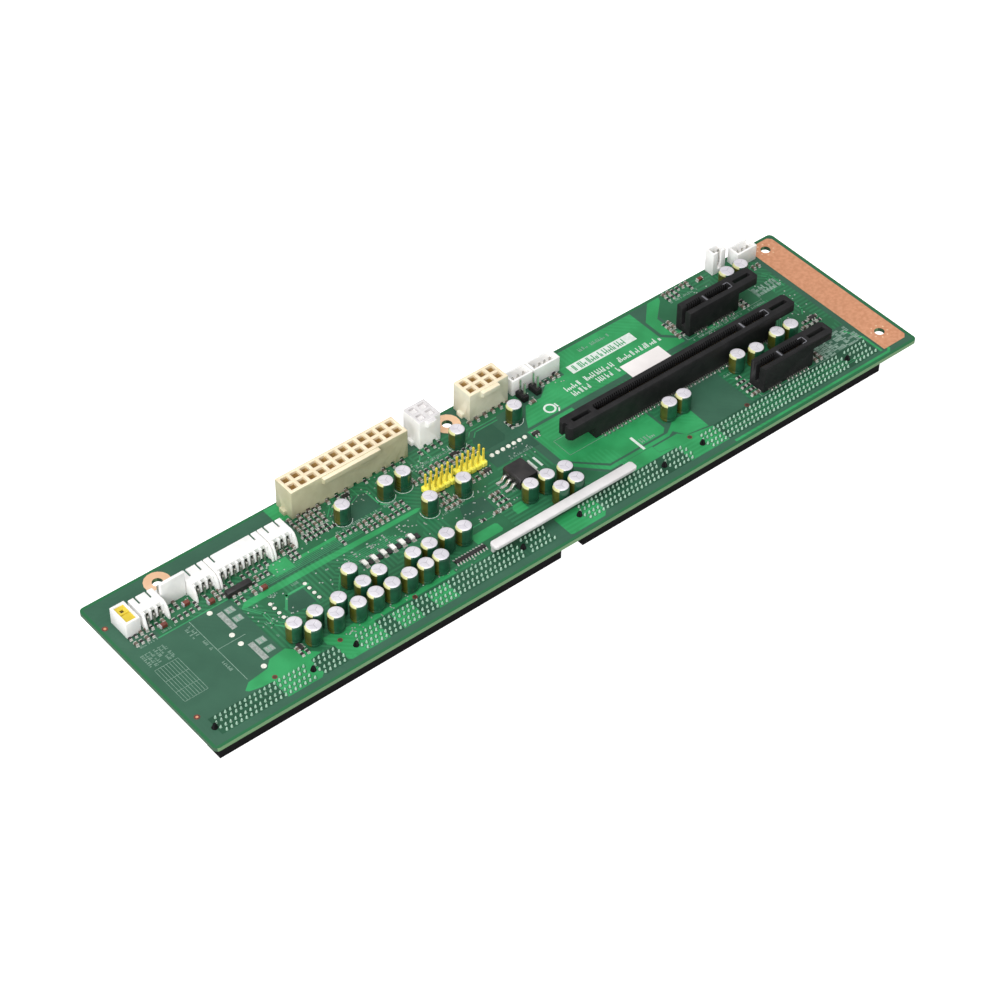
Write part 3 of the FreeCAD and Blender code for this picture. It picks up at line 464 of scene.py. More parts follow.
def placed(name, data):
    """Object in the scene for a mesh, a lamp or a camera."""
    obj = bpy.data.objects.new(name, data)
    bpy.context.scene.collection.objects.link(obj)
    return obj


def kept(bm):
    """A shape set aside to be stamped many times."""
    bmesh.ops.recalc_face_normals(bm, faces=bm.faces)
    return meshed(bm, "stamp")


def stamp(bm, shape, x, y, z=TOP, turn=0.0):
    """Adds a kept shape at a place, turned about its upright axis."""
    move = Matrix.Translation((x, y, z)) @ Matrix.Rotation(math.radians(turn), 4, "Z")
    copy = shape.copy()
    copy.transform(move)
    bm.from_mesh(copy)
    bpy.data.meshes.remove(copy)


def piece(bm, name, finishes, stands_for=(), smooth=35.0):
    """Moves a drawn shape to the shared frame and makes it a piece of the object."""
    bmesh.ops.transform(bm, matrix=TO_FRAME, verts=bm.verts)
    mesh = meshed(bm, name)
    for material in finishes:
        mesh.materials.append(material)
    mesh.shade_smooth()
    mesh.set_sharp_from_angle(angle=math.radians(smooth))
    obj = placed(name, mesh)
    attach(obj, "root")
    if stands_for:
        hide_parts(*stands_for)
    return obj


def solid_of(node):
    """A node's own solids in board millimetres, with the facets of each flat face joined."""
    bm = bmesh.new()
    bm.from_mesh(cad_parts[node].data)
    bmesh.ops.transform(bm, matrix=TO_FRAME.inverted(), verts=bm.verts)
    bmesh.ops.remove_doubles(bm, verts=bm.verts, dist=0.002)
    bmesh.ops.dissolve_limit(bm, angle_limit=0.02, use_dissolve_boundaries=False, verts=bm.verts,
                             edges=bm.edges)
    return bm


def ease(bm, width, segments=2):
    """Rounds the sharp edges, as a mould leaves them."""
    sharp = [e for e in bm.edges if e.is_manifold and e.calc_face_angle() > 0.6]
    round_off(bm, sharp, width, segments)


def moulding(node, width, material, segments=2):
    """A node's shape with eased edges, in place of the node."""
    bm = solid_of(node)
    ease(bm, width, segments)
    return piece(bm, node + "_moulding", [material], [node])


def dress(nodes, material):
    """Gives kept nodes their finish."""
    for node in nodes:
        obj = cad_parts[node]
        for holder in obj.material_slots:
            holder.link = "OBJECT"
            holder.material = material


# Board face: copper under the mask


def oblong(low_x, high_x, low_y, high_y):
    """Corners of a rectangle."""
    return (low_x, low_y), (high_x, low_y), (high_x, high_y), (low_x, high_y)


# Outlines of the mask's fields: over fine copper, painted shade among the host tails, over full copper, and
# over none
BROAD_OUTLINES = (
    ((42, 20), (47, 12), (51, 10.9), (153, 10.9), (172, 10.9), (184, 16.4), (171.5, 30), (171.5, 49),
     (160, 49), (156.5, 52.5), (156.5, 64.5), (186, 65.5), (186, 69.5), (80, 69.5), (78.5, 56.2),
     (58, 56.2), (42, 51)),
    ((14, 51.2), (42, 51.2), (58, 56.2), (78.5, 56.2), (78.5, 63), (14, 63)),
    ((216, 23), (229, 23), (229, 33.2), (249, 33.2), (249, 50), (216, 50)),
    ((250, 12), (282, 12), (282, 22), (306, 22), (306, 70), (296, 77.5), (263, 77.5), (255, 69), (255, 61),
     (259, 56.5), (254, 51), (250, 51)),
)
SHADED_OUTLINES = (
    oblong(4.5, 30.8, 2.4, 10.8),
    oblong(46.8, 56.4, 2.2, 10.8),
    oblong(74, 147, 2.2, 10.8),
    oblong(172, 211, 2.2, 10.8),
    oblong(230, 306, 2.2, 11.4),
)
BRIGHT_OUTLINES = (
    ((190.6, 16.8), (204.9, 16.8), (204.9, 12.8), (211.2, 11.5), (211.2, 11.0), (190.6, 11.0)),
    oblong(76.2, 92, 69.6, 78.4),
    ((21.5, 13.2), (24.5, 15.6), (33, 16.6), (36, 19.6), (43, 20.3), (46.5, 16.4), (51.5, 11.4),
     (46.6, 10.6), (46.6, 3.4), (45, 2.0), (31, 2.0), (31, 10.7), (27, 11.0), (22.2, 12.2)),
    ((55.5, 16.2), (66, 15.0), (74, 15.4), (74, 2.2), (57.8, 2.2), (56.6, 3.2), (56.6, 10.9), (55, 12.8)),
    oblong(80, 89, 2.2, 10.6),
    oblong(95.2, 104.2, 2.2, 10.4),
    oblong(74, 110, 11.6, 13.6),
    ((60.5, 49.0), (68.8, 49.0), (68.8, 55.2), (62, 55.2), (60.5, 53.6)),
    ((42.5, 44.4), (44, 43.6), (118, 43.6), (120.5, 44.6), (119, 45.4), (71, 46.4), (45, 46.4)),
    oblong(72, 90, 51.0, 52.4),
    ((124.5, 17.6), (135.6, 17.6), (136.4, 18.4), (136.4, 21.4), (135.6, 22.2), (125.6, 22.2),
     (124.5, 21.2)),
    ((153.0, 1.2), (154.0, 0.6), (168.5, 0.6), (170.5, 2.6), (170.5, 10.4), (153.0, 10.4)),
    ((145, 20.5), (150, 20.5), (150, 25), (146.4, 25), (145, 23.6)),
    ((174.8, 51.0), (174.8, 31.4), (187.4, 19.6), (213, 19.6), (215, 21.4), (215, 33.4), (196, 33.4),
     (196, 51.0)),
    ((171.2, 31.4), (185.4, 17.0), (213.5, 17.0), (216.2, 18.2), (219, 13.6), (228.4, 12.2), (228.8, 22.4),
     (220, 22.6), (216.6, 20.2), (214.0, 18.6), (186.6, 18.6), (173.6, 31.4)),
    ((211.4, 2.2), (229.6, 2.2), (229.6, 11.2), (219.4, 13.2), (216.6, 16.2), (205, 16.2), (205, 13.0),
     (211.4, 11.6)),
    ((176.4, 52.4), (253.4, 52.4), (253.4, 54.4), (247.2, 60), (247.2, 77.2), (210.6, 77.2), (205.6, 72.4),
     (205.6, 66.4), (196.4, 66.4), (190.6, 62.2), (183.4, 62.2), (179.4, 57.4)),
    ((248.8, 60.6), (254.4, 55.4), (258, 55.4), (253.6, 60.6), (253.6, 68.4), (261.4, 75.6), (262.4, 77.6),
     (256.6, 77.6), (248.8, 69.6)),
    oblong(265.2, 269.6, 50.4, 52.6),
    ((306.4, 1.8), (307.4, 1.8), (307.4, 12.0), (304, 19), (303.2, 18.6), (306.4, 11.6)),
    ((230.6, -0.5), (309.0, -0.5), (310.6, 1.0), (310.6, 9.0), (309.6, 9.0), (309.6, 1.4), (308.6, 0.6),
     (230.6, 0.6)),
)
BARE_OUTLINES = (
    ((54.4, 31.2), (64.4, 31.2), (64.4, 39.0), (58.6, 39.0), (54.4, 35.2)),
    ((155.6, 53.0), (165.8, 53.0), (167.6, 55.0), (167.6, 62.6), (159, 62.6), (155.6, 58.8)),
    ((92.8, 53.8), (109.8, 53.8), (109.8, 63.0), (104, 64.4), (92.8, 62.4)),
    ((48, 46.8), (90, 47.4), (90, 49.6), (72, 49.6), (70, 48.4), (48, 48.4)),
    ((128, 29.4), (140.6, 27.4), (141, 35.4), (131, 36.2)),
    oblong(154.4, 174.2, 43.4, 51.2),
    oblong(86.4, 110.4, 33.2, 36.8),
)


def fields():
    """Copper fields that show through the mask, the painted shade among the host tails, and the windows
    left in them.
    """
    for name, outlines, height, material in (
        ("broad_fields", BROAD_OUTLINES, BROAD_FIELD, BROAD),
        ("tail_shade_fields", SHADED_OUTLINES, BROAD_FIELD, SHADED),
        ("bright_fields", BRIGHT_OUTLINES, BRIGHT_FIELD, BRIGHT),
        ("bare_windows", BARE_OUTLINES, BARE_FIELD, BARE),
    ):
        bm = bmesh.new()
        for outline in outlines:
            sheet(bm, outline, SUNK, height)
        bmesh.ops.recalc_face_normals(bm, faces=bm.faces)
        piece(bm, name, [material])


def tracks():
    """The broader tracks, in bundles with slanted corners."""
    bm = bmesh.new()
    runs = [
        ([(54.2, 34.6), (58.0, 39.8), (67.0, 39.8)], 0.9),
        ([(42.6, 44.0), (46.5, 38.0), (46.5, 31.5), (49.0, 28.5)], 0.5),
        ([(44.0, 43.2), (47.6, 37.6), (47.6, 32.4), (50.0, 30.0)], 0.3),
        ([(170.4, 63.0), (160.2, 63.0), (158.0, 61.0)], 0.4),
        ([(171.0, 64.4), (158.6, 64.4), (156.8, 62.6)], 0.4),
        ([(298.6, 36.0), (300.6, 38.4), (300.6, 46.0)], 0.5),
        ([(301.8, 62.2), (303.4, 60.4), (303.4, 54.0)], 0.4),
        ([(303.0, 63.0), (304.8, 61.0), (304.8, 52.6)], 0.4),
        ([(299.4, 52.4), (302.2, 55.4), (302.2, 60.0)], 0.4),
        ([(252, 26.0), (258.0, 20.4), (282.0, 20.4)], 0.4),
        ([(137.0, 66.0), (134.0, 62.8), (131.6, 62.8)], 0.5),
        ([(139.4, 68.0), (139.4, 62.0), (136.4, 59.4)], 0.5),
        ([(148.0, 33.0), (140.0, 25.2), (128.0, 25.2)], 0.35),
        ([(110.2, 63.6), (110.2, 55.4), (112.4, 53.2)], 0.6),
        ([(13.0, 51.0), (41.6, 51.0)], 0.45),
        ([(47.0, 50.2), (66.0, 50.2)], 0.35),
    ]
    for i in range(5):
        runs.append(([(48 + i, 50.6 - i * 0.7), (90 + 3 * i, 50.6 - i * 0.7)], 0.22))
    for i in range(7):
        level = 36.4 + 0.8 * i
        runs.append(([(72 + 0.8 * i, 29 + i), (80 + 0.8 * i, level), (108 - i, level)], 0.22))
    for i in range(6):
        x, drop = 96 + 2.2 * i, 0.4 * i
        runs.append(([(x, 68.4), (x, 65.6 - drop), (92 + 1.2 * i, 61.6 - drop)], 0.25))
    for i in range(6):
        runs.append(([(232, 4.3 + i * 0.9), (300 - 3 * i, 4.3 + i * 0.9)], 0.2))
    for i in range(5):
        runs.append(([(284 + 1.1 * i, 34.5), (289 + 1.1 * i, 39.5), (289 + 1.1 * i, 50.4)], 0.22))
    for points, width in runs:
        path(bm, points, width, SUNK, TRACK)
    piece(bm, "tracks", [LINE])


def vias():
    """Small plated holes between layers."""
    bm = bmesh.new()
    small = bmesh.new()
    cone(small, 0, 0, (-0.01, PAD - TOP), 0.7, 0.55, 8)
    shape = kept(small)
    small = bmesh.new()
    cone(small, 0, 0, (-0.01, PAD - TOP), 0.8, 0.6, 8, 1)
    warm = kept(small)
    chance = random.Random(5)
    regions = (
        # low X, high X, low Y, high Y, holes
        (43, 58, 30, 43, 26), (60, 90, 50, 56, 26), (70, 110, 31, 43, 46), (92, 132, 60, 68, 44),
        (110, 154, 24, 46, 60), (128, 156, 60, 68, 30), (160, 174, 40, 48, 14), (178, 204, 64, 70, 20),
        (232, 250, 34, 49, 14), (250, 256, 30, 50, 14), (284, 306, 34, 60, 34), (256, 282, 49.5, 52, 16),
        (262, 282, 62.5, 72, 20), (15, 42, 57, 62, 22), (60, 120, 11.2, 14.4, 34),
    )
    for low_x, high_x, low_y, high_y, count in regions:
        for _ in range(count):
            stamp(bm, shape, chance.uniform(low_x, high_x), chance.uniform(low_y, high_y))
    ring, count = 3.3, 8
    for x, y in END_HOLES:
        for i in range(count):
            angle = math.tau * (i + 0.5) / count
            stamp(bm, warm, x + ring * math.cos(angle), y + ring * math.sin(angle), TOP + 0.06)
    piece(bm, "vias", [SOLDER, RING])


def dark_holes():
    """Open tooling holes and the plated rings of the empty clip places."""
    bm = bmesh.new()
    for x, y in ((32.7, 12.0), (59.7, 11.7), (91.7, 11.6), (218.9, 11.9), (246.9, 11.5)):
        cone(bm, x, y, (SUNK, PAD), 2.0, 1.9, 16, 0)
        # A dark disc of painted shade stands for the open hole
        cone(bm, x, y, (TOP, PAD + 0.01), 1.3, 1.2, 12, 1)
    for x, y in ((32.8, 49.5), (32.8, 36.5), (32.8, 31.4), (32.8, 18.3)):
        cone(bm, x, y, (SUNK, PAD + 0.06), 2.1, 1.9, 16, 2)
    for x, y in ((1.1, 65.8), (2.4, 13.8)):
        cone(bm, x, y, (SUNK, BARE_FIELD), 2.3, 2.2, 14, 0)
        cone(bm, x, y, (SUNK, PAD), 1.1, 1.0, 12, 3)
    piece(bm, "tooling_marks", [BROWN, HOLE_SHADE, PAD_END, COPPER])


# Sockets


def contact_row(end_x, far_contacts):
    """X of each contact of a socket, from its left end."""
    near = [end_x - FIRST_CONTACT - i for i in range(KEY_CONTACTS)]
    far = [end_x - FIRST_PAST_KEY - i for i in range(far_contacts)]
    return sorted(near + far)


def solder_tail(height):
    """Clearance ring darkened with painted shade, pad, round solder joint and the contact's end that just
    stands out of it.
    """
    bm = bmesh.new()
    cone(bm, 0, 0, (-0.01, 0.045), 1.5, 1.45, 8, 1)
    cone(bm, 0, 0, (-0.01, 0.06), 1.0, 0.96, 10)
    cone(bm, 0, 0, (0.05, 0.5 * height), 0.9, 0.76, 8)
    cone(bm, 0, 0, (0.5 * height, 0.85 * height), 0.76, 0.46, 8)
    cone(bm, 0, 0, (0.8 * height, height), 0.42, 0.34, 6)
    return kept(bm)


def host_sockets():
    """Black host sockets, the solder of their tails and the springs in their slits."""
    tail = solder_tail(1.15)
    spring = contact_spring()
    for name, (end_x, far_contacts) in HOSTS.items():
        moulding("host_socket_" + name, 0.16, SOCKET)
        bm = bmesh.new()
        springs = bmesh.new()
        for i, x in enumerate(contact_row(end_x, far_contacts)):
            for side in (1, -1):
                stamp(bm, tail, x, HOST_ROW + side * TAIL_ROWS[i % 2])
                stamp(springs, spring, x, HOST_ROW, -HOST_HEIGHT, 0 if side > 0 else 180)
        piece(bm, f"host_{name}_solder", [TAIL, SHADED], ["host_tails_" + name])
        piece(springs, f"host_{name}_springs", [GOLD])
    walls = bmesh.new()
    parting = 0.02
    for low, high in HOST_JOINTS:
        thickness = (high - low) / 2 - parting
        for start in (low, (low + high) / 2 + parting):
            box(walls, (start, start + thickness), about(HOST_ROW, HOST_WIDTH), (-HOST_HEIGHT, 0.0))
    piece(walls, "host_end_walls", [SOCKET])


def contact_spring():
    """One bowed contact against the rear wall of a slit that opens downwards from height 0."""
    bm = bmesh.new()
    half = 0.25
    # distance from the slit's middle, and height
    line = [(0.92, 1.0), (0.86, 2.2), (0.55, 3.6), (0.86, 5.2), (0.92, 6.2)]
    edge = bm.edges.new([bm.verts.new((x, line[0][0], line[0][1])) for x in (-half, half)])
    for y, z in line[1:]:
        made = bmesh.ops.extrude_edge_only(bm, edges=[edge])["geom"]
        verts = [v for v in made if isinstance(v, bmesh.types.BMVert)]
        for v in verts:
            v.co.y, v.co.z = y, z
        edge = next(e for e in made if isinstance(e, bmesh.types.BMEdge) and set(e.verts) == set(verts))
    bmesh.ops.recalc_face_normals(bm, faces=bm.faces)
    bmesh.ops.solidify(bm, geom=bm.faces[:], thickness=0.12)
    return kept(bm)


def comb(row_y, far_contacts):
    """Cutter for the contact chambers along both lips of a slot."""
    bm = bmesh.new()
    for x in contact_row(SLOT_END, far_contacts):
        for side in (1, -1):
            span = sorted((row_y + side * 0.7, row_y + side * 1.75))
            box(bm, about(x, 0.56), span, (TOP + 3.4, TOP + 12.0))
    return bm


def cut_away(body, bm):
    """Cuts a drawn shape out of a piece."""
    bmesh.ops.transform(bm, matrix=TO_FRAME, verts=bm.verts)
    cutter = placed("cutter", meshed(bm, "cutter"))
    cut = body.modifiers.new("cut", "BOOLEAN")
    cut.operation = "DIFFERENCE"
    cut.solver = "EXACT"
    cut.use_self = True
    cut.use_hole_tolerant = True
    cut.object = cutter
    bpy.context.view_layer.update()
    shape = bpy.data.meshes.new_from_object(body.evaluated_get(bpy.context.evaluated_depsgraph_get()))
    body.modifiers.remove(cut)
    body.data = shape
    bpy.data.objects.remove(cutter)


def card_slots():
    """Black card slots with their open contact chambers and springs."""
    spring = contact_spring()
    tail = solder_tail(0.7)
    for name, (row_y, far_contacts) in SLOTS.items():
        node = name + "_card_slot"
        body = moulding(node, 0.2, BLACK)
        cut_away(body, comb(row_y, far_contacts))
        springs = bmesh.new()
        for x in contact_row(SLOT_END, far_contacts):
            for side in (1, -1):
                stamp(springs, spring, x, row_y, TOP + 2.2, 0 if side > 0 else 180)
        piece(springs, name + "_slot_springs", [GOLD], [name + "_slot_contacts"])
        tails = bmesh.new()
        for i, x in enumerate(contact_row(SLOT_END, far_contacts)):
            box(tails, about(x, 0.4), (row_y - 4.1, row_y - 3.7), (TOP, TOP + 0.9))
            if i % 2:
                stamp(tails, tail, x, row_y - 4.6)
        piece(tails, name + "_slot_tails", [TINNED, BARE])
        # Painted highlights: light grey strips round the near slit's end and across the key, where
        # chamfered edges catch the light
        lips = bmesh.new()
        end = SLOT_END - 1.8
        key = SLOT_END - 14.5
        start = end - 1.9
        front, back = row_y - 1.5, row_y + 1.5
        lip = (SLOT_TOP - 0.25, SLOT_TOP + 0.02)
        path(lips, [(start, front), (end, front), (end, back), (start, back)], 0.3, *lip)
        stroke(lips, (key, row_y - 1.2), (key, row_y + 1.2), 0.7, *lip)
        piece(lips, name + "_slot_highlights", [PAINTED_EDGE_HIGHLIGHT])


# Headers


def power_headers():
    """Power headers and their pins."""
    front = HEADER_ROW - HEADER_SIDE
    # The aux header takes the lighter copy of the ivory, which is painted light
    plastics = {"main": IVORY, "aux": IVORY_LIGHTENED, "square": CLEAR}
    for name, (x, columns) in HEADERS.items():
        white = name == "square"
        body = moulding(name + "_power_header", 0.14, plastics[name])
        places = row(x, columns, HEADER_PITCH)
        feet = bmesh.new()
        for place in places:
            box(feet, about(place, 1.9), (front - 0.5, front + 1.6), (TOP - 0.5, TOP + 1.5))
        cut_away(body, feet)
        bm = bmesh.new()
        bm.from_mesh(body.data)
        bmesh.ops.bisect_plane(bm, geom=bm.verts[:] + bm.edges[:] + bm.faces[:], dist=1e-7,
                               plane_co=TO_FRAME @ Vector((0, 0, CELL_RIM)), plane_no=(0, 0, 1))
        bm.to_mesh(body.data)
        bm.free()
        for material in (GLOW, ENAMEL) if white else (CELL_SHADE_AND_GLOW, IVORY_TOP_LIGHT):
            body.data.materials.append(material)
        # Cell walls below the rim get finish 1: painted shade on the ivory headers, a painted glow on the
        # square one. Rims, upward ledge faces and tops get finish 2: painted top light on the ivory
        # headers.
        for face in body.data.polygons:
            spot = TO_FRAME.inverted() @ face.center
            near = min(abs(spot.x - place) for place in places)
            inside = near < 1.79 and 0.3 < abs(spot.y - HEADER_ROW) < 3.9 and spot.z > CELL_FLOOR
            ledge = face.normal.z > 0.5 and spot.z > TOP + 5
            if inside and spot.z < CELL_RIM:
                face.material_index = 1
            elif inside or ledge or spot.z > HEADER_TOP - 0.3:
                face.material_index = 2
        # Lips that narrow the cell openings; on the ivory headers they take the painted top light
        lips = bmesh.new()
        cell, lip = 3.5, 0.3
        offset = (cell - lip) / 2
        span = (HEADER_TOP - 1.2, HEADER_TOP - 0.03)
        for x in places:
            for y in row(HEADER_ROW, 2, HEADER_PITCH):
                for side in (1, -1):
                    box(lips, about(x, cell), about(y + side * offset, lip), span)
                    box(lips, about(x + side * offset, lip), about(y, cell - 2 * lip), span)
        piece(lips, name + "_cell_lips", [ENAMEL if white else IVORY_TOP_LIGHT])
        moulding(name + "_power_pins", 0.18, TINNED if white else GOLD, 1)


def wafer_teeth():
    """White wafers, open in front between the teeth that part their pins."""
    front = WAFER_FRONT
    gap, depth, high = 1.72, 0.77, TOP + 4.43
    teeth = bmesh.new()
    for name, (x, pins) in WAFERS.items():
        body = moulding(name + "_wafer", 0.12, WHITE)
        places = row(x, pins, WAFER_PITCH)
        gaps = bmesh.new()
        for place in places:
            box(gaps, about(place, gap), (front - 0.63, front + depth), (TOP - 0.37, high))
        cut_away(body, gaps)
        # The notches' inner faces take painted shade
        body.data.materials.append(WHITE_NOTCH_SHADE)
        for face in body.data.polygons:
            spot = TO_FRAME.inverted() @ face.center
            near = min(abs(spot.x - place) for place in places) < gap / 2 + 0.02
            if near and front + 0.02 < spot.y < front + depth + 0.03 and spot.z < high + 0.02:
                face.material_index = 1
        for place in row(x, pins + 1, WAFER_PITCH):
            box(teeth, about(place, 0.7), (front - 1.2, front + 0.1), (TOP + 1.6, TOP + 6.1), 0.12)
    piece(teeth, "wafer_teeth", [WHITE])


def white_connectors():
    """White boxes with eased edges and the yellow insert."""
    for node in ("side_box", "alarm_box", "bus_box", "corner_box", "speaker_box", "fan_header"):
        moulding(node, 0.12, WHITE)
    wafer_teeth()
    insert = moulding("side_box_insert", 0.1, INSERT, 1)
    high = max((TO_FRAME.inverted() @ Vector(corner)).z for corner in insert.bound_box)
    x, y = 7.1, 63.6
    hole = bmesh.new()
    box(hole, about(x, 1.3), about(y, 1.3), (high - 0.9, high + 0.1))
    cut_away(insert, hole)
    # A dark square of painted shade sits down in the opening
    opening_shade = bmesh.new()
    box(opening_shade, about(x, 1.2), about(y, 1.2), (high - 0.95, high - 0.55))
    piece(opening_shade, "insert_opening", [HOLE_SHADE])
    dress(("wafer_pins", "box_pins", "fan_pins", "jumper_pins"), TINNED)
    dress(("setup_pins",), PIN_GOLD)


def setup_headers():
    """Yellow two-row strips notched between their pins, and the black jumper strips."""
    for name, x in SETUP_STRIPS.items():
        bm = bmesh.new()
        for place in row(x, SETUP_COLUMNS, PIN_PITCH):
            box(bm, about(place, 2.50), about(SETUP_ROW, 5.0), (TOP, TOP + 2.5), 0.45)
        piece(bm, name + "_setup_strip", [YELLOW], [name + "_setup_header"])
        moulding(name + "_jumper_header", 0.2, BLACK, 1)


# Capacitors and other parts


def can():
    """One capacitor: crimped sleeve with its stripe and a scored metal top."""
    bm = bmesh.new()
    # radius and height
    profile = [(0.0, 0.0), (2.5, 0.0), (2.92, 0.14), (3.08, 0.55), (3.08, 0.95), (2.88, 1.25), (2.88, 1.45),
               (3.08, 1.75), (3.12, 2.2), (3.12, 7.1), (3.02, 7.5), (2.8, 7.82), (2.54, 7.95), (1.9, 7.97),
               (0.0, 7.97)]
    turned(bm, profile, 28)
    # finishes: 0 sleeve, 1 stripe, 2 top, 3 scored lines, 4 the stripe's pale shoulder
    foot, shoulder, rim, top = 0.1, 7.1, 7.85, 7.9
    half_stripe = 36
    for face in bm.faces:
        middle = face.calc_center_median()
        stripe = abs(math.degrees(math.atan2(middle.y, -middle.x))) < half_stripe
        if middle.z > top or (middle.z > rim and not stripe):
            face.material_index = 2
        elif middle.z > shoulder and stripe:
            face.material_index = 4
        elif middle.z > foot and stripe:
            face.material_index = 1
    score = 1.9
    for angle in (30, 150, 270):
        tip = (score * math.cos(math.radians(angle)), score * math.sin(math.radians(angle)))
        stroke(bm, (0, 0), tip, 0.12, 7.94, 7.99, 3)
    return kept(bm)


def capacitors():
    """All the cans, with their stripes to the left."""
    bm = bmesh.new()
    shape = can()
    for x, y in CANS:
        stamp(bm, shape, x, y)
    finishes = [SLEEVE, STRIPE, CAN_TOP, SCORE, SHOULDER]
    piece(bm, "capacitor_cans", finishes, ["capacitors"])


def regulator():
    """Flat power regulator, its tab and its leads."""
    moulding("regulator_body", 0.18, CHIP_BLACK)
    moulding("regulator_tab", 0.12, TINNED)
    moulding("regulator_leads", 0.1, TINNED, 1)


def larger_parts():
    """Bar, resistor array, tantalum capacitors and diodes."""
    moulding("stiffener_bar", 0.35, ENAMEL, 3)
    moulding("resistor_array", 0.2, CHIP_BLACK)
    bm = bmesh.new()
    for x, y in TANTALUMS:
        box(bm, about(x, 2.7), about(y, 1.64), (TOP + 0.1, TOP + 1.58), 0.14, 0)
        box(bm, (x - 1.38, x - 0.85), about(y, 1.66), (TOP + 0.2, TOP + 1.6), 0.12, 2)
        for side in (1, -1):
            box(bm, about(x + side * 1.42, 0.34), about(y, 1.2), (TOP, TOP + 0.8), 0.05, 1)
    piece(bm, "tantalum_parts", [BROWN, TINNED, SCORE], ["tantalum_capacitors"])
    bm = bmesh.new()
    y = DIODE_ROW
    for x in DIODES:
        box(bm, about(x, 1.66), about(y, 2.6), (TOP + 0.1, TOP + 1.08), 0.16, 0)
        for side in (1, -1):
            box(bm, about(x, 1.3), about(y + side * 1.45, 0.46), (TOP, TOP + 0.6), 0.05, 1)
            box(bm, about(x, 1.7), about(y + side * 1.9, 1.1), (TOP, PAD), 0, 1)
    piece(bm, "diode_parts", [PALE, TINNED], ["diodes"])


# Small surface parts


def chip(length, width, height):
    """Two-ended chip on its pads, along X."""
    bm = bmesh.new()
    box(bm, about(0, length - 0.5), about(0, width), (0.02, height), 0.04, 0)
    for side in (1, -1):
        end = about(side * (length / 2 - 0.17), 0.34)
        box(bm, end, about(0, width + 0.02), (0.0, height + 0.02), 0.04, 1)
        box(bm, about(side * (length / 2 + 0.08), 0.5), about(0, width + 0.1), (0.0, 0.055), 0, 2)
    return kept(bm)


def leaded(length, width, height, leads):
    """Small moulded part with leads along both long sides."""
    bm = bmesh.new()
    box(bm, about(0, length), about(0, width), (0.1, height), 0.12, 0)
    for x in row(0, leads, LEAD_PITCH):
        for side in (1, -1):
            box(bm, about(x, 0.45), about(side * (width / 2 + 0.25), 0.5), (0.2, 0.7 * height), 0.05, 1)
            box(bm, about(x, 0.5), about(side * (width / 2 + 0.7), 0.7), (0.0, 0.2), 0, 1)
    return kept(bm)


CHIP_ROWS = (
    # first X, first Y, columns, rows, step in X, step in Y, turn, kinds
    (80.0, 61.0, 6, 4, 2.1, 2.35, 90, "rc"),
    (79.6, 56.6, 6, 2, 2.3, 2.0, 0, "r"),
    (88.6, 47.6, 13, 2, 2.35, 3.2, 90, "rc"),
    (126.4, 55.4, 12, 2, 2.45, 2.6, 90, "rc"),
    (124.6, 43.4, 4, 2, 2.3, 2.6, 90, "rc"),
    (140.6, 43.6, 4, 3, 2.5, 2.4, 90, "rc"),
    (127.4, 38.0, 3, 2, 2.6, 2.6, 0, "c"),
    (143.4, 28.6, 2, 3, 2.5, 2.3, 0, "rc"),
    (133.4, 25.6, 5, 1, 2.9, 2.0, 0, "rc"),
    (5.0, 56.6, 5, 1, 2.2, 2.0, 90, "rc"),
    (5.2, 53.0, 4, 1, 2.2, 2.0, 90, "rc"),
    (23.4, 58.8, 2, 2, 2.4, 2.2, 90, "rc"),
    (21.6, 54.2, 5, 1, 2.4, 2.2, 90, "r"),
    (39.2, 53.4, 2, 2, 2.0, 2.6, 90, "rc"),
    (43.0, 47.6, 4, 1, 2.4, 2.2, 90, "rc"),
    (54.6, 52.6, 3, 1, 2.2, 2.2, 90, "rc"),
    (70.6, 52.6, 2, 2, 2.0, 2.4, 90, "r"),
    (45.8, 14.4, 2, 2, 2.2, 2.4, 90, "rc"),
    (83.8, 67.4, 12, 1, 4.2, 2.0, 90, "rc"),
    (137.6, 66.6, 4, 1, 3.0, 2.0, 90, "r"),
    (157.6, 67.6, 9, 1, 3.6, 2.0, 90, "c"),
    (172.0, 56.8, 2, 2, 2.2, 2.3, 90, "rc"),
    (195.4, 67.6, 4, 1, 2.6, 2.2, 90, "rc"),
    (252.6, 14.0, 2, 5, 2.0, 2.6, 0, "rc"),
    (253.0, 55.8, 2, 4, 2.1, 2.6, 90, "rc"),
    (264.4, 74.2, 6, 2, 2.3, 2.6, 90, "rc"),
    (283.4, 53.0, 2, 2, 2.2, 2.7, 90, "rc"),
    (293.0, 29.4, 4, 2, 2.6, 2.4, 0, "rc"),
    (302.6, 67.4, 2, 1, 2.4, 2.0, 90, "c"),
    (283.6, 13.4, 2, 2, 2.4, 2.4, 90, "c"),
    (13.6, 56.2, 3, 1, 2.3, 2.0, 90, "rc"),
    (31.6, 56.4, 3, 1, 2.2, 2.0, 90, "rc"),
    (43.6, 51.0, 5, 1, 2.3, 2.0, 90, "rc"),
    (64.4, 57.0, 5, 1, 2.3, 2.0, 90, "rc"),
    (44.0, 56.4, 8, 1, 2.5, 2.0, 90, "r"),
)
SMALL_PACKAGES = (
    # X, Y, turn
    (47.0, 17.4, 90), (150.4, 44.2, 0), (118.6, 62.0, 90), (103.0, 65.6, 0), (146.4, 58.4, 0),
    (176.4, 48.2, 0), (299.4, 31.8, 0), (202.6, 70.2, 90),
)


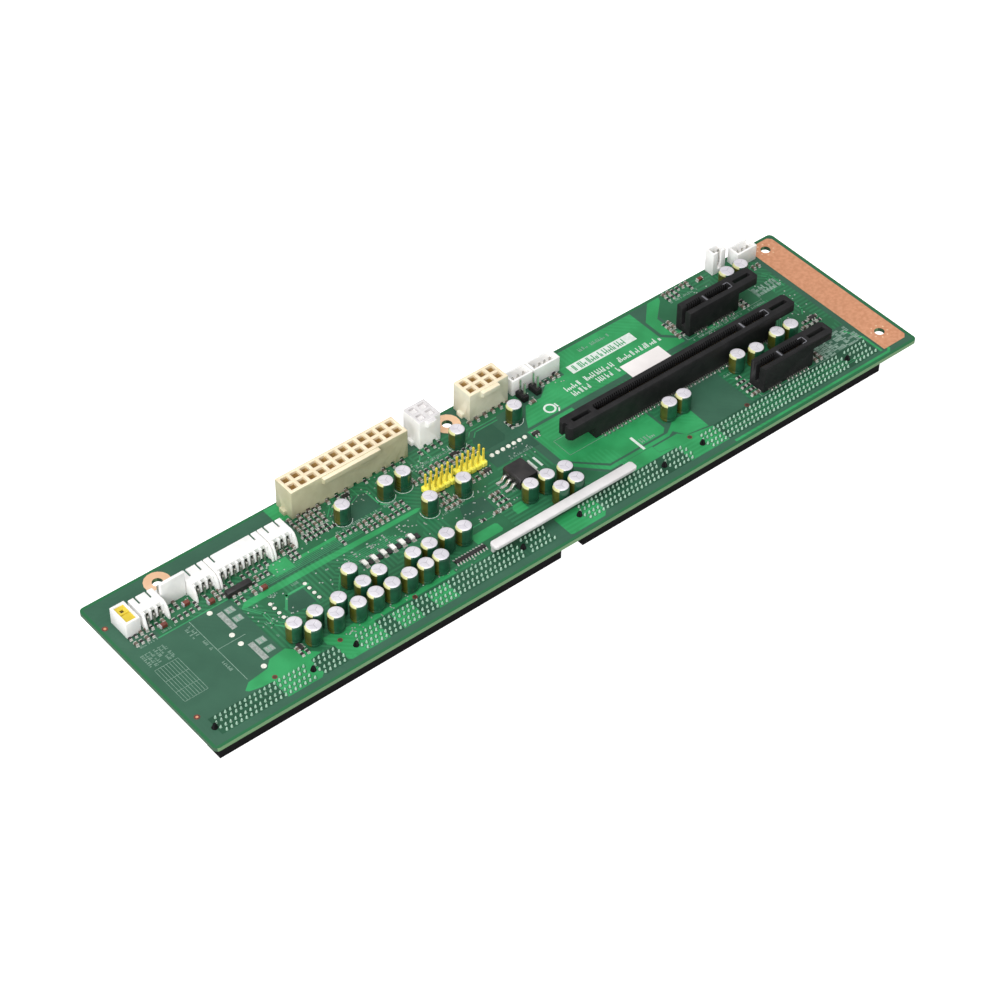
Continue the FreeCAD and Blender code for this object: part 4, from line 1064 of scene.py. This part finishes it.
def surface_parts():
    """Chip resistors and capacitors in rows, the few small moulded parts, and the painted shadows beside
    the diodes.
    """
    chance = random.Random(11)
    shapes = {"r": chip(1.8, 1.05, 0.55), "c": chip(1.9, 1.1, 0.95)}
    made = {"r": bmesh.new(), "c": bmesh.new()}
    for first_x, first_y, columns, rows, step_x, step_y, turn, kinds in CHIP_ROWS:
        for i in range(columns):
            for j in range(rows):
                kind = chance.choice(kinds)
                if chance.random() < 0.9:
                    place = first_x + i * step_x, first_y + j * step_y
                    stamp(made[kind], shapes[kind], *place, TOP + 0.02, turn)
    piece(made["r"], "chip_resistors", [CHIP_BLACK, CHIP_END, CHIP_END])
    stamp(made["c"], chip(2.4, 1.4, 0.9), 186.6, 62.1)
    piece(made["c"], "chip_capacitors", [CHIP_TAN, CHIP_END, CHIP_END])
    bm = bmesh.new()
    small = leaded(2.9, 1.5, 1.1, 2)
    for x, y, turn in SMALL_PACKAGES:
        stamp(bm, small, x, y, TOP, turn)
    stamp(bm, leaded(13.4, 1.5, 0.9, 11), 119.1, 15.3)
    # Dark boxes beside each diode are painted shadow
    for x in DIODES:
        box(bm, about(x + 2.0, 1.5), about(DIODE_ROW - 0.7, 2.4), (TOP, TOP + 0.6), 0.1)
    piece(bm, "small_packages", [CHIP_BLACK, CHIP_END])
    bm = bmesh.new()
    stamp(bm, chip(2.6, 1.4, 1.1), 281.6, 75.4)
    piece(bm, "brown_chip", [BROWN, CHIP_END, CHIP_END])


def empty_places():
    """Tinned pads of the places that carry no part."""
    bm = bmesh.new()
    clip_x = 35.4
    for y in (43.0, 25.0):
        box(bm, about(clip_x, 2.2), about(y, 9.2), (SUNK, PAD))
        for dx, dy in ((3.6, 3.4), (3.6, -1.4)):
            for side in (1, -1):
                box(bm, about(clip_x + dx + side * 0.95, 0.9), about(y + dy, 2.2), (SUNK, PAD))
    for x, places in ((51.3, (29.6, 32.2, 34.8, 37.5, 40.0)), (66.3, (32.2, 35.0, 37.8, 40.4))):
        for y in places:
            # Ring of painted shade round each pad
            cone(bm, x, y, (SUNK, BARE_FIELD), 2.3, 2.2, 14, 1)
            cone(bm, x, y, (SUNK, PAD + 0.05), 1.6, 1.4, 14, 2)
    for i in range(7):
        cone(bm, 157.0 + 2.56 * i, 49.56, (SUNK, PAD + 0.3), 1.9, 1.5, 12, 2)
    for i in range(4):
        for j in range(3):
            box(bm, about(88.0 + 6.6 * i, 0.8), about(39.6 + 1.3 * j, 0.6), (SUNK, PAD))
    piece(bm, "empty_pads", [SOLDER, SHADED, PAD_END])


# Print


def marks(bm, x, y, length, height, seed, upright=False, width=0.12, ink=1, top=INK):
    """Row of small plain bars where a board carries its part marks."""
    chance = random.Random(seed)
    step = height * 0.75
    run = 0.0
    while run < length:
        if chance.random() < 0.85:
            shares = chance.sample((0.08, 0.3, 0.52), 2)
            for share in shares:
                low, high = (0.0, height) if chance.random() < 0.6 else (0.0, height * 0.45)
                a, b = run + share * height, run + share * height + 0.001
                ends = ((x + a, y + low), (x + b, y + high))
                if upright:
                    ends = ((x + low, y + a), (x + high, y + b))
                stroke(bm, *ends, height * width, SUNK, top, ink)
            a, b = run + (min(shares) + width) * height, run + (max(shares) - width) * height
            if b > a:
                level = height * 0.25
                ends = ((x + a, y + level), (x + b, y + level))
                if upright:
                    ends = ((x + level, y + a), (x + level, y + b))
                stroke(bm, *ends, height * width, SUNK, top, ink)
        run += step


def frame_line(bm, x, y, width, ink=0):
    """Printed outline of a rectangle, from its two X and two Y values."""
    corners = oblong(*x, *y)
    path(bm, corners + corners[:1], width, SUNK, INK, ink)


PART_MARKS = (
    # X, Y, length
    (4.6, 50.6, 8.0), (15.0, 52.0, 5.4), (43.0, 49.8, 10.0), (80.0, 59.4, 11.0), (88.0, 52.6, 28.0),
    (126.0, 61.0, 26.0), (124.0, 36.4, 9.0), (141.0, 50.9, 3.0), (150.6, 30.0, 2.4),
    (256.0, 50.2, 24.0), (263.6, 71.8, 14.0), (284.0, 50.0, 8.0), (250.4, 27.8, 4.0),
)


def printing():
    """White print: outlines, rules, tables and blank panels."""
    bm = bmesh.new()
    half = [math.pi * (0.85 + i / 8) for i in range(9)]
    radius = 3.6
    for x, y in CANS:
        if 35 < y < 63:
            arc = [(x + radius * math.cos(t), y + radius * math.sin(t)) for t in half]
            path(bm, arc, 0.22, SUNK, INK)
    for x in [3.2 + 1.18 * i for i in range(9)]:
        stroke(bm, (x, 21.8), (x, 39.4), 0.13, SUNK, INK, 1)
    for y in (21.8, 27.0, 33.0, 39.4):
        stroke(bm, (3.2, y), (12.64, y), 0.13, SUNK, INK, 1)
    for i in range(6):
        marks(bm, 3.0 + 1.7 * i, 40.6, 6.8, 1.2, 20 + i, upright=True)
    path(bm, [(25.0, 17.0), (25.0, 50.5)], 0.2, SUNK, INK, 1)
    path(bm, [(25.0, 34.0), (36.4, 34.0)], 0.2, SUNK, INK, 1)
    for x, y in ((21.6, 43.0), (23.2, 43.6), (23.2, 35.0), (22.8, 23.2)):
        marks(bm, x, y, 5.0, 1.2, int(x * y), upright=True)
    stroke(bm, (201.9, 18.0), (201.9, 24.6), 1.1, SUNK, INK)
    for x in (165.2, 167.8):
        stroke(bm, (x, 34.6), (x, 39.0), 0.9, SUNK, INK)
    frame_line(bm, (179.0, 256.0), (31.9, 41.2), 0.16, 1)
    for y in (16.2, 56.84):
        frame_line(bm, (254.6, 292.4), (y - 4.9, y + 4.9), 0.14, 1)
    for i in range(8):
        marks(bm, 287.8 + 2.4 * i, 11.6, 8.4, 1.8, 60 + i, upright=True, width=0.3)
    for j in range(2):
        marks(bm, 292.4, 53.9 + 2.4 * j, 11.0, 2.0, 80 + j, width=0.3)
    marks(bm, 203.4, 20.4, 6.4, 2.2, 91)
    marks(bm, 160.6, 43.6, 11.4, 1.2, 92)
    marks(bm, 216.8, 72.6, 17.0, 1.6, 93)
    for j, (x, run) in enumerate(((200.4, 46.0), (200.4, 22.0))):
        marks(bm, x, 58.6 - 3.6 * j, run, 2.4, 95 + j, width=0.15, ink=0)
    for x, y in ((44.4, 33.0), (44.4, 26.0), (52.6, 42.6), (62.0, 42.0)):
        marks(bm, x, y, 3.6, 1.1, int(7 * x + y))
    for x, y, run in PART_MARKS:
        marks(bm, x, y, run, 1.1, int(3 * x + 5 * y))
    for y in (46.4, 41.6, 28.4, 23.6):
        box(bm, about(39.0, 3.4), about(y, 2.8), (SUNK, TOP + 0.05), 0, 1)
    x, y, inner, outer = 189.4, 55.6, 1.7, 2.5
    turns = [math.tau * i / 16 for i in range(17)]
    for a, b in zip(turns, turns[1:]):
        corners = ((inner, a), (outer, a), (outer, b), (inner, b))
        sheet(bm, [(x + r * math.cos(t), y + r * math.sin(t)) for r, t in corners], SUNK, INK)
    path(bm, [(191.4, 52.6), (192.6, 54.2), (192.4, 56.4)], 0.6, SUNK, INK)
    box(bm, (208.6, 240.0), (64.6, 69.2), (SUNK, INK))
    marks(bm, 210.4, 65.5, 27.0, 2.8, 97, width=0.16, ink=2, top=INK + 0.01)
    bmesh.ops.recalc_face_normals(bm, faces=bm.faces)
    piece(bm, "white_print", [INK_WHITE, INK_WORN, LINE])
    panels = bmesh.new()
    box(panels, (224.4, 243.6), (44.4, 56.7), (SUNK, TOP + 0.1), 0.03)
    piece(panels, "blank_label", [PAPER])


# Underside


def pin_places():
    """X and Y of the larger pins that come through the board."""
    places = [(x + side * CAN_LEAD, y) for x, y in CANS for side in (1, -1)]
    for x, columns in HEADERS.values():
        for pin in row(x, columns, HEADER_PITCH):
            places += [(pin, HEADER_ROW + side * HEADER_PITCH / 2) for side in (1, -1)]
    for x, pins in WAFERS.values():
        places += [(pin, WAFER_PIN_ROW) for pin in row(x, pins, WAFER_PITCH)]
    for x, y, pins in BOXES:
        places += [(pin, y) for pin in row(x, pins, WAFER_PITCH)]
    x, y, pins = SIDE_BOX
    places += [(x, pin) for pin in row(y, pins, WAFER_PITCH)]
    x, y, pins = FAN_HEADER
    places += [(pin, y) for pin in row(x, pins, PIN_PITCH)]
    for x in SETUP_STRIPS.values():
        for pin in row(x, SETUP_COLUMNS, PIN_PITCH):
            places += [(pin, SETUP_ROW + side * PIN_PITCH / 2) for side in (1, -1)]
    for x in JUMPERS:
        places += [(x + side * PIN_PITCH / 2, JUMPER_ROW) for side in (1, -1)]
    return places


def underside():
    """Solder of the through-hole parts on the board's lower face."""
    joint = bmesh.new()
    cone(joint, 0, 0, (0.01, -0.07), 1.7, 1.6, 10)
    cone(joint, 0, 0, (-0.05, -0.75), 1.4, 0.6, 8)
    cone(joint, 0, 0, (-0.7, -1.1), 0.55, 0.4, 6)
    shape = kept(joint)
    fine = bmesh.new()
    cone(fine, 0, 0, (0.01, -0.06), 1.1, 1.05, 10)
    cone(fine, 0, 0, (-0.05, -0.7), 0.9, 0.4, 6)
    small = kept(fine)
    bm = bmesh.new()
    for x, y in pin_places():
        stamp(bm, shape, x, y, 0.0)
    for row_y, far_contacts in SLOTS.values():
        for i, x in enumerate(contact_row(SLOT_END, far_contacts)):
            for side in (1, -1):
                stamp(bm, small, x, row_y + side * TAIL_ROWS[i % 2], 0.0)
    piece(bm, "underside_solder", [SOLDER])


# Stage


LAMPS = (
    # name, place, size in metres, watts
    ("softbox", (-0.35, -0.05, 1.1), 1.0, 8.0),
    ("fill", (-1.9, -0.95, 0.98), 1.5, 34.0),
)


def stage():
    """Pale floor, even sky and two soft lamps."""
    bm = bmesh.new()
    bmesh.ops.create_grid(bm, x_segments=1, y_segments=1, size=6.0)
    bmesh.ops.translate(bm, vec=(0, 0, cad_low.z - 0.0005), verts=bm.verts)
    floor = placed("floor", meshed(bm, "floor"))
    paper = finish("floor_paper", (206, 206, 206), (200, 200, 200), 0.9, drift=3.0,
                   Emission_Color=(1, 1, 1, 1))
    seen = put(paper.node_tree, "ShaderNodeLightPath").outputs["Is Camera Ray"]
    feed(paper.node_tree, paper.node_tree.nodes["Principled BSDF"].inputs["Emission Strength"], seen)
    floor.data.materials.append(paper)
    world = bpy.data.worlds.new("studio")
    world.use_nodes = True
    sky = world.node_tree.nodes["Background"]
    sky.inputs["Color"].default_value = (1.0, 1.0, 1.0, 1.0)
    sky.inputs["Strength"].default_value = 0.45
    bpy.context.scene.world = world
    centre = Vector((-0.165, 0.0, 0.0))
    for name, spot, size, power in LAMPS:
        lamp = bpy.data.lights.new(name, "AREA")
        lamp.shape = "SQUARE"
        lamp.size = size
        lamp.energy = power
        obj = placed(name, lamp)
        obj.location = spot
        obj.rotation_euler = (centre - Vector(spot)).to_track_quat("-Z", "Y").to_euler()
    bpy.context.scene.view_settings.view_transform = "Standard"


def camera():
    """Camera at the photograph's angle, distance and lens."""
    azimuth, elevation, roll = (math.radians(v) for v in (-39.99, 44.18, 0.675))
    distance = 1.00697
    target = TO_FRAME @ Vector((144.602, 30.0, TOP))
    back = Vector((math.sin(azimuth) * math.cos(elevation), -math.cos(azimuth) * math.cos(elevation),
                   math.sin(elevation)))
    right = Vector((math.cos(azimuth), math.sin(azimuth), 0.0))
    up = back.cross(right)
    across = math.cos(roll) * right + math.sin(roll) * up
    over = math.cos(roll) * up - math.sin(roll) * right
    lens = bpy.data.cameras.new("camera")
    lens.lens = 102.36
    lens.sensor_width = 36.0
    lens.clip_start = 0.01
    obj = placed("camera", lens)
    spot = target + back * distance
    obj.matrix_world = Matrix((
        (across.x, over.x, back.x, spot.x),
        (across.y, over.y, back.y, spot.y),
        (across.z, over.z, back.z, spot.z),
        (0, 0, 0, 1),
    ))
    bpy.context.scene.camera = obj


dress(("board",), BOARD)
dress(("ground_strip",), COPPER)
dress(("ring_pads",), RING)
fields()
tracks()
vias()
dark_holes()
host_sockets()
card_slots()
power_headers()
white_connectors()
setup_headers()
capacitors()
regulator()
larger_parts()
surface_parts()
empty_places()
printing()
underside()
stage()
camera()
